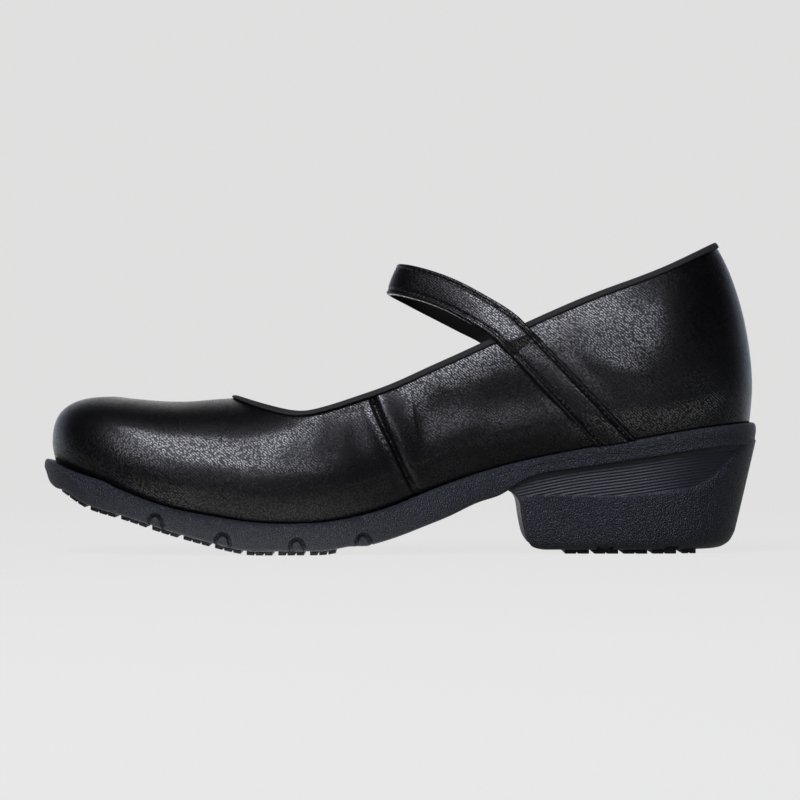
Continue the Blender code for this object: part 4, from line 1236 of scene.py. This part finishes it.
def add_looks(tree, shader, colour, roughness):
    """Colour and roughness that change over a surface."""
    tree.links.new(colour, shader.inputs["Base Color"])
    tree.links.new(roughness, shader.inputs["Roughness"])


# Leather: pebbles and rows drawn out along a lean, fine wrinkles, clouds, a coat on the grain's tops, and
# painted shade in its furrows
GRAIN_LEAN = math.radians(40.0)
GRAIN_STRETCH = 2.1
LEATHER_PEBBLES = 1850.0
LEATHER_WANDER = 0.0006
ROW_SCALE = 400.0
ROW_DISTORTION = 3.0
ROW_DETAIL_SCALE = 1.5
ROW_SHARE = 0.7
WRINKLE_SCALE = 500.0
WRINKLE_SHARE = 0.3
LEATHER_RELIEF = 0.06
LEATHER_CLOUDS = 60.0
LEATHER_TOP = (0.002, 0.002, 0.0025)
# Colour of the grain's furrows: painted shade in the recesses
LEATHER_FURROW_SHADE = (0.0006, 0.0006, 0.0008)
LEATHER_ROUGH = Ramp(0.3, 0.7, 0.22, 0.3)
FURROW_ROUGH = 0.15
LEATHER_SPECULAR = 0.14
COAT_TOPS = Ramp(0.58, 1.08, 0.04, 1.0)
COAT_CLOUDS = Ramp(0.3, 0.7, 1.0, 0.8)
COAT_ROUGHNESS = 0.21
COAT_IOR = 1.6

# The leather's coat is thinner under a leaning line from the ball to the collar, up to the heel
FLEX_SLOPE = 0.45
FLEX_LINE = Ramp(0.046, 0.060, 0.36, 1.0)
FLEX_END = Ramp(0.045, 0.070, 0.0, 1.0)


def flex_polish(tree, where):
    """Share of the coat that is left where the shoe flexes."""
    spot = node(tree, "ShaderNodeSeparateXYZ", {"Vector": where})
    line = maths(tree, "MULTIPLY", spot.outputs["X"], FLEX_SLOPE)
    above = maths(tree, "SUBTRACT", spot.outputs["Z"], line)
    kept = remap(tree, above, *FLEX_LINE)
    at_heel = remap(tree, spot.outputs["X"], *FLEX_END)
    return maths(tree, "MAXIMUM", kept, at_heel)


def leather_material(name, group):
    """Black grained leather, with a cloudy finish coat on the tops of its grain and painted shade in its
    furrows.
    """
    material, tree, shader = start_material(name)
    where = object_place(tree)
    sockets = {"Vector": where, "Rotation": (0.0, GRAIN_LEAN, 0.0), "Scale": (GRAIN_STRETCH, 1.0, 1.0)}
    leaning = node(tree, "ShaderNodeMapping", sockets, vector_type="TEXTURE").outputs[0]
    grain = add_grain(tree, group, leaning, LEATHER_PEBBLES, LEATHER_WANDER)
    furrow = grain.outputs["Furrow"]
    rows = waves(tree, leaning, "Z", ROW_SCALE, ROW_DISTORTION, ROW_DETAIL_SCALE)
    grained = maths(tree, "ADD", grain.outputs["Height"], maths(tree, "MULTIPLY", rows, ROW_SHARE))
    wrinkles = maths(tree, "MULTIPLY", mottle(tree, leaning, WRINKLE_SCALE, 2.0), WRINKLE_SHARE)
    add_bump(tree, shader, maths(tree, "ADD", grained, wrinkles), 1.0, LEATHER_RELIEF)
    clouds = mottle(tree, where, LEATHER_CLOUDS, 3.0)
    rough = remap(tree, clouds, *LEATHER_ROUGH)
    rough = maths(tree, "ADD", rough, maths(tree, "MULTIPLY", furrow, FURROW_ROUGH))
    # The grain's furrows are darker than its tops: painted shade in the recesses.
    add_looks(tree, shader, blend_colours(tree, furrow, LEATHER_TOP, LEATHER_FURROW_SHADE), rough)
    shader.inputs["Specular IOR Level"].default_value = LEATHER_SPECULAR
    tops = remap(tree, grained, *COAT_TOPS)
    polish = maths(tree, "MULTIPLY", remap(tree, clouds, *COAT_CLOUDS), flex_polish(tree, where))
    tree.links.new(maths(tree, "MULTIPLY", tops, polish), shader.inputs["Coat Weight"])
    shader.inputs["Coat Roughness"].default_value = COAT_ROUGHNESS
    shader.inputs["Coat IOR"].default_value = COAT_IOR
    return material


# Rubber: pebbles that fade out on the ribbed panel, and clouds
RUBBER_PEBBLES = 1400.0
RUBBER_WANDER = 0.0009
RUBBER_RELIEF = 0.3
PANEL_PEBBLES = Ramp(0.3, 0.9, 1.0, 0.12)
RUBBER_CLOUDS = 40.0
RUBBER_SHADE = Ramp(0.3, 0.7, 0.0, 1.0)
RUBBER_DARK = (0.0072, 0.0086, 0.0126)
RUBBER_LIGHT = (0.011, 0.0131, 0.0192)
RUBBER_ROUGH = Ramp(0.3, 0.7, 0.4, 0.48)
RUBBER_SPECULAR = 0.27


def rubber_material(name, group):
    """Moulded charcoal rubber: pebbled texture except on the smooth ribbed panel."""
    material, tree, shader = start_material(name)
    where = object_place(tree)
    grain = add_grain(tree, group, where, RUBBER_PEBBLES, RUBBER_WANDER)
    panel = node(tree, "ShaderNodeAttribute", attribute_name="panel").outputs["Fac"]
    textured = remap(tree, panel, *PANEL_PEBBLES)
    add_bump(tree, shader, maths(tree, "MULTIPLY", grain.outputs["Height"], textured), 1.0, RUBBER_RELIEF)
    clouds = mottle(tree, where, RUBBER_CLOUDS, 4.0)
    colour = blend_colours(tree, remap(tree, clouds, *RUBBER_SHADE), RUBBER_DARK, RUBBER_LIGHT)
    add_looks(tree, shader, colour, remap(tree, clouds, *RUBBER_ROUGH))
    shader.inputs["Specular IOR Level"].default_value = RUBBER_SPECULAR
    return material


# Cloths: relief, two colours, and the roughness along their pattern
Cloth = namedtuple("Cloth", "strength relief dark light rough")
BINDING_CLOTH = Cloth(
    0.7, 0.12, (0.0015, 0.0015, 0.0016), (0.0045, 0.0045, 0.0048), Ramp(0.0, 1.0, 0.85, 0.7))
LINING_CLOTH = Cloth(0.5, 0.1, (0.002, 0.0015, 0.0012), (0.005, 0.0038, 0.003), Ramp(0.3, 0.7, 0.75, 0.9))
SOCK_CLOTH = Cloth(0.5, 0.15, (0.020, 0.018, 0.017), (0.050, 0.046, 0.043), Ramp(0.0, 1.0, 0.9, 0.75))
THREAD = Cloth(0.4, 0.05, (0.002, 0.002, 0.0022), (0.006, 0.006, 0.0065), Ramp(0.3, 0.7, 0.45, 0.6))
RIB_SCALE = 0.55
RIB_DISTORTION = 0.6
WARP_SCALE = 0.8
WARP_DISTORTION = 0.4
NAP_SCALE = 1500.0
SOCK_TURN = 0.785
SOCK_SCALE = 260.0
TWIST_SCALE = 4000.0


def binding_weave(tree):
    """Fine cross ribs and lengthwise threads on the binding's own UV map."""
    run = node(tree, "ShaderNodeUVMap", uv_map="run").outputs["UV"]
    ribs = waves(tree, run, "X", RIB_SCALE, RIB_DISTORTION)
    return maths(tree, "MULTIPLY", ribs, waves(tree, run, "Y", WARP_SCALE, WARP_DISTORTION))


def lining_nap(tree):
    """Brushed nap of the lining."""
    return mottle(tree, object_place(tree), NAP_SCALE, 3.0)


def sock_weave(tree):
    """Diagonal weave of the sock cover."""
    sockets = {"Vector": object_place(tree), "Rotation": (0.0, 0.0, SOCK_TURN)}
    turned = node(tree, "ShaderNodeMapping", sockets).outputs[0]
    return maths(tree, "MULTIPLY", *[waves(tree, turned, axis, SOCK_SCALE) for axis in "XY"])


def thread_twist(tree):
    """Slight twist of the sewing thread."""
    return mottle(tree, object_place(tree), TWIST_SCALE, 1.0)


def cloth_material(name, cloth, draw):
    """Matt cloth or thread whose relief, colour and roughness follow one drawn pattern."""
    material, tree, shader = start_material(name)
    pattern = draw(tree)
    add_bump(tree, shader, pattern, cloth.strength, cloth.relief)
    colour = blend_colours(tree, pattern, cloth.dark, cloth.light)
    add_looks(tree, shader, colour, remap(tree, pattern, *cloth.rough))
    return material


# Studio: the sweep's floor, bend and wall, its pale grey in the picture, and the light that the shoe sees
# from the floor under its waist, from the floor before its heel and from the wall
SWEEP_HALF_WIDTH = 4.0
SWEEP_FRONT = -3.2
SWEEP_BACK = 1.6
SWEEP_BEND = 0.9
SWEEP_TOP = 2.6
SWEEP_ROWS = 120
SWEEP_BASE = 0.04
SWEEP_SEEN = 0.73
FLOOR_DEPTH = Ramp(-0.14, -0.06, 0.03, 1.8)
FLOOR_AHEAD = Ramp(-0.15, -0.08, 0.15, 1.0)
FLOOR_BEHIND = Ramp(-0.03, 0.05, 1.0, 0.15)
HEEL_FLOOR = Ramp(0.03, 0.09, 0.0, 1.2)
HEEL_FLOOR_NEAR = Ramp(-0.18, -0.13, 1.0, 0.0)
HEEL_FLOOR_FAR = Ramp(-1.2, -0.7, 0.0, 1.0)
WALL_DEPTH = Ramp(0.0, 0.6, 0.0, 1.0)
WALL_HEIGHT = Ramp(0.3, 2.2, 1.0, 0.08)
WALL_SIDES = Ramp(0.4, 2.4, 1.0, 0.6)
WALL_NEUTRAL = Ramp(0.4, 1.2, 1.0, 0.0)
PAPER = (1.0, 1.0, 0.995)
COOL_LIGHT = (0.86, 0.96, 1.15)


def paper_glow(tree, spot):
    """Light of the paper as the shoe sees it, and how much of that is neutral in colour."""

    def product(*ramped):
        result = 1.0
        for value, ramp in ramped:
            result = maths(tree, "MULTIPLY", remap(tree, value, *ramp), result)
        return result

    across, depth, height = (spot[axis] for axis in "XYZ")
    aside = maths(tree, "ABSOLUTE", across)
    floor = product((depth, FLOOR_DEPTH), (across, FLOOR_AHEAD), (across, FLOOR_BEHIND))
    heel = product((across, HEEL_FLOOR), (depth, HEEL_FLOOR_NEAR), (depth, HEEL_FLOOR_FAR))
    brightest = maths(tree, "MAXIMUM", maths(tree, "MAXIMUM", floor, heel), remap(tree, depth, *WALL_DEPTH))
    glow = maths(tree, "MULTIPLY", brightest, product((height, WALL_HEIGHT), (aside, WALL_SIDES)))
    return glow, remap(tree, aside, *WALL_NEUTRAL)


def paper_material():
    """Paper that the camera sees as plain pale grey, and that lights the shoe in graded parts."""
    material, tree, shader = start_material("studio_paper")
    shader.inputs["Base Color"].default_value = (SWEEP_BASE, SWEEP_BASE, SWEEP_BASE, 1.0)
    shader.inputs["Roughness"].default_value = 1.0
    shader.inputs["Specular IOR Level"].default_value = 0.0
    spot = node(tree, "ShaderNodeSeparateXYZ", {"Vector": object_place(tree)}).outputs
    glow, straight = paper_glow(tree, spot)
    is_seen = node(tree, "ShaderNodeLightPath").outputs["Is Camera Ray"]
    strength = node(tree, "ShaderNodeMix", {"Factor": is_seen, 2: glow, 3: SWEEP_SEEN}).outputs[0]
    tree.links.new(strength, shader.inputs["Emission Strength"])
    neutral = maths(tree, "MAXIMUM", is_seen, straight)
    tree.links.new(blend_colours(tree, neutral, COOL_LIGHT, PAPER), shader.inputs["Emission Color"])
    return material


def build_sweep():
    """Pale studio floor that bends up into a plain backdrop."""
    flat = SWEEP_BACK - SWEEP_FRONT
    arc = SWEEP_BEND * math.pi / 2
    length = flat + arc + SWEEP_TOP - SWEEP_BEND
    bm = bmesh.new()
    bmesh.ops.create_grid(bm, x_segments=4, y_segments=SWEEP_ROWS, size=1.0)
    for corner in bm.verts:
        at = (corner.co.y + 1.0) / 2 * length
        angle = min(max((at - flat) / SWEEP_BEND, 0.0), math.pi / 2)
        depth = SWEEP_FRONT + min(at, flat) + SWEEP_BEND * math.sin(angle)
        height = SWEEP_BEND * (1.0 - math.cos(angle)) + max(at - flat - arc, 0.0)
        corner.co = corner.co.x * SWEEP_HALF_WIDTH, depth, height
    for face in bm.faces:
        face.smooth = True
    mesh = bpy.data.meshes.new("studio_sweep")
    bm.to_mesh(mesh)
    bm.free()
    mesh.materials.append(paper_material())
    sweep = bpy.data.objects.new("studio_sweep", mesh)
    bpy.context.scene.collection.objects.link(sweep)


# Soft boxes: place, size, roll in degrees, and power
Softbox = namedtuple("Softbox", "name place width height roll watts")
SOFTBOXES = (
    Softbox("key", (-0.235, -0.825, 1.0), 0.48, 1.1, 17.0, 17.5),
    Softbox("toe_fill", (-0.65, -0.96, 0.66), 0.5, 0.9, 0.0, 4.0),
    Softbox("heel_side", (0.18, -1.37, 0.635), 0.5, 0.42, 0.0, 4.2),
)
BOX_LIGHT = (0.98, 0.98, 1.1)
ROOM_LIGHT = (0.02, 0.02, 0.022, 1.0)
AIM = Vector((0.0, 0.0, 0.045))


def add_lights():
    """Soft boxes on the camera's side, and a dim room around the sweep."""
    for box in SOFTBOXES:
        lamp = bpy.data.lights.new(box.name, "AREA")
        lamp.shape = "RECTANGLE"
        lamp.size = box.width
        lamp.size_y = box.height
        lamp.energy = box.watts
        lamp.color = BOX_LIGHT
        light = bpy.data.objects.new(box.name, lamp)
        light.location = box.place
        facing = (AIM - Vector(box.place)).to_track_quat("-Z", "Y")
        light.rotation_euler = (facing @ Quaternion((0.0, 0.0, 1.0), math.radians(box.roll))).to_euler()
        bpy.context.scene.collection.objects.link(light)
    world = bpy.data.worlds.new("dim_room")
    world.use_nodes = True
    world.node_tree.nodes["Background"].inputs["Color"].default_value = ROOM_LIGHT
    bpy.context.scene.world = world


def add_camera():
    """Camera square to the inner side, framed as the photo is."""
    metres_per_pixel = SOLE_LENGTH * MILLIMETRE / (PHOTO_HEEL - PHOTO_TOE)
    lens = bpy.data.cameras.new("photo_camera")
    lens.sensor_width = SENSOR
    lens.lens = CAMERA_DISTANCE / metres_per_pixel * SENSOR / PHOTO_SIZE
    lens.clip_end = CAMERA_SIGHT
    camera = bpy.data.objects.new("photo_camera", lens)
    across = (PHOTO_SIZE / 2 - PHOTO_TOE) * metres_per_pixel - SOLE_LENGTH * MILLIMETRE / 2
    camera.location = across, -CAMERA_DISTANCE, CAMERA_HEIGHT
    camera.rotation_euler = math.pi / 2, 0.0, 0.0
    bpy.context.scene.collection.objects.link(camera)
    bpy.context.scene.camera = camera


def main():
    """The whole shoe, its studio and its camera."""
    grain = pebbled_grain()
    leather = leather_material("black_grain_leather", grain)
    strap_leather = leather_material("black_strap_leather", grain)
    lining = cloth_material("brown_black_lining", LINING_CLOTH, lining_nap)
    rubber = rubber_material("charcoal_rubber", grain)
    build_upper(leather, lining)
    build_sole_plate(rubber)
    build_heel(rubber)
    build_tread(rubber)
    build_insole(cloth_material("sock_cover", SOCK_CLOTH, sock_weave))
    build_binding(cloth_material("binding_textile", BINDING_CLOTH, binding_weave))
    build_strap(strap_leather, lining, cloth_material("black_thread", THREAD, thread_twist))
    build_sweep()
    add_lights()
    add_camera()
    bpy.context.scene.view_settings.view_transform = "Standard"


main()
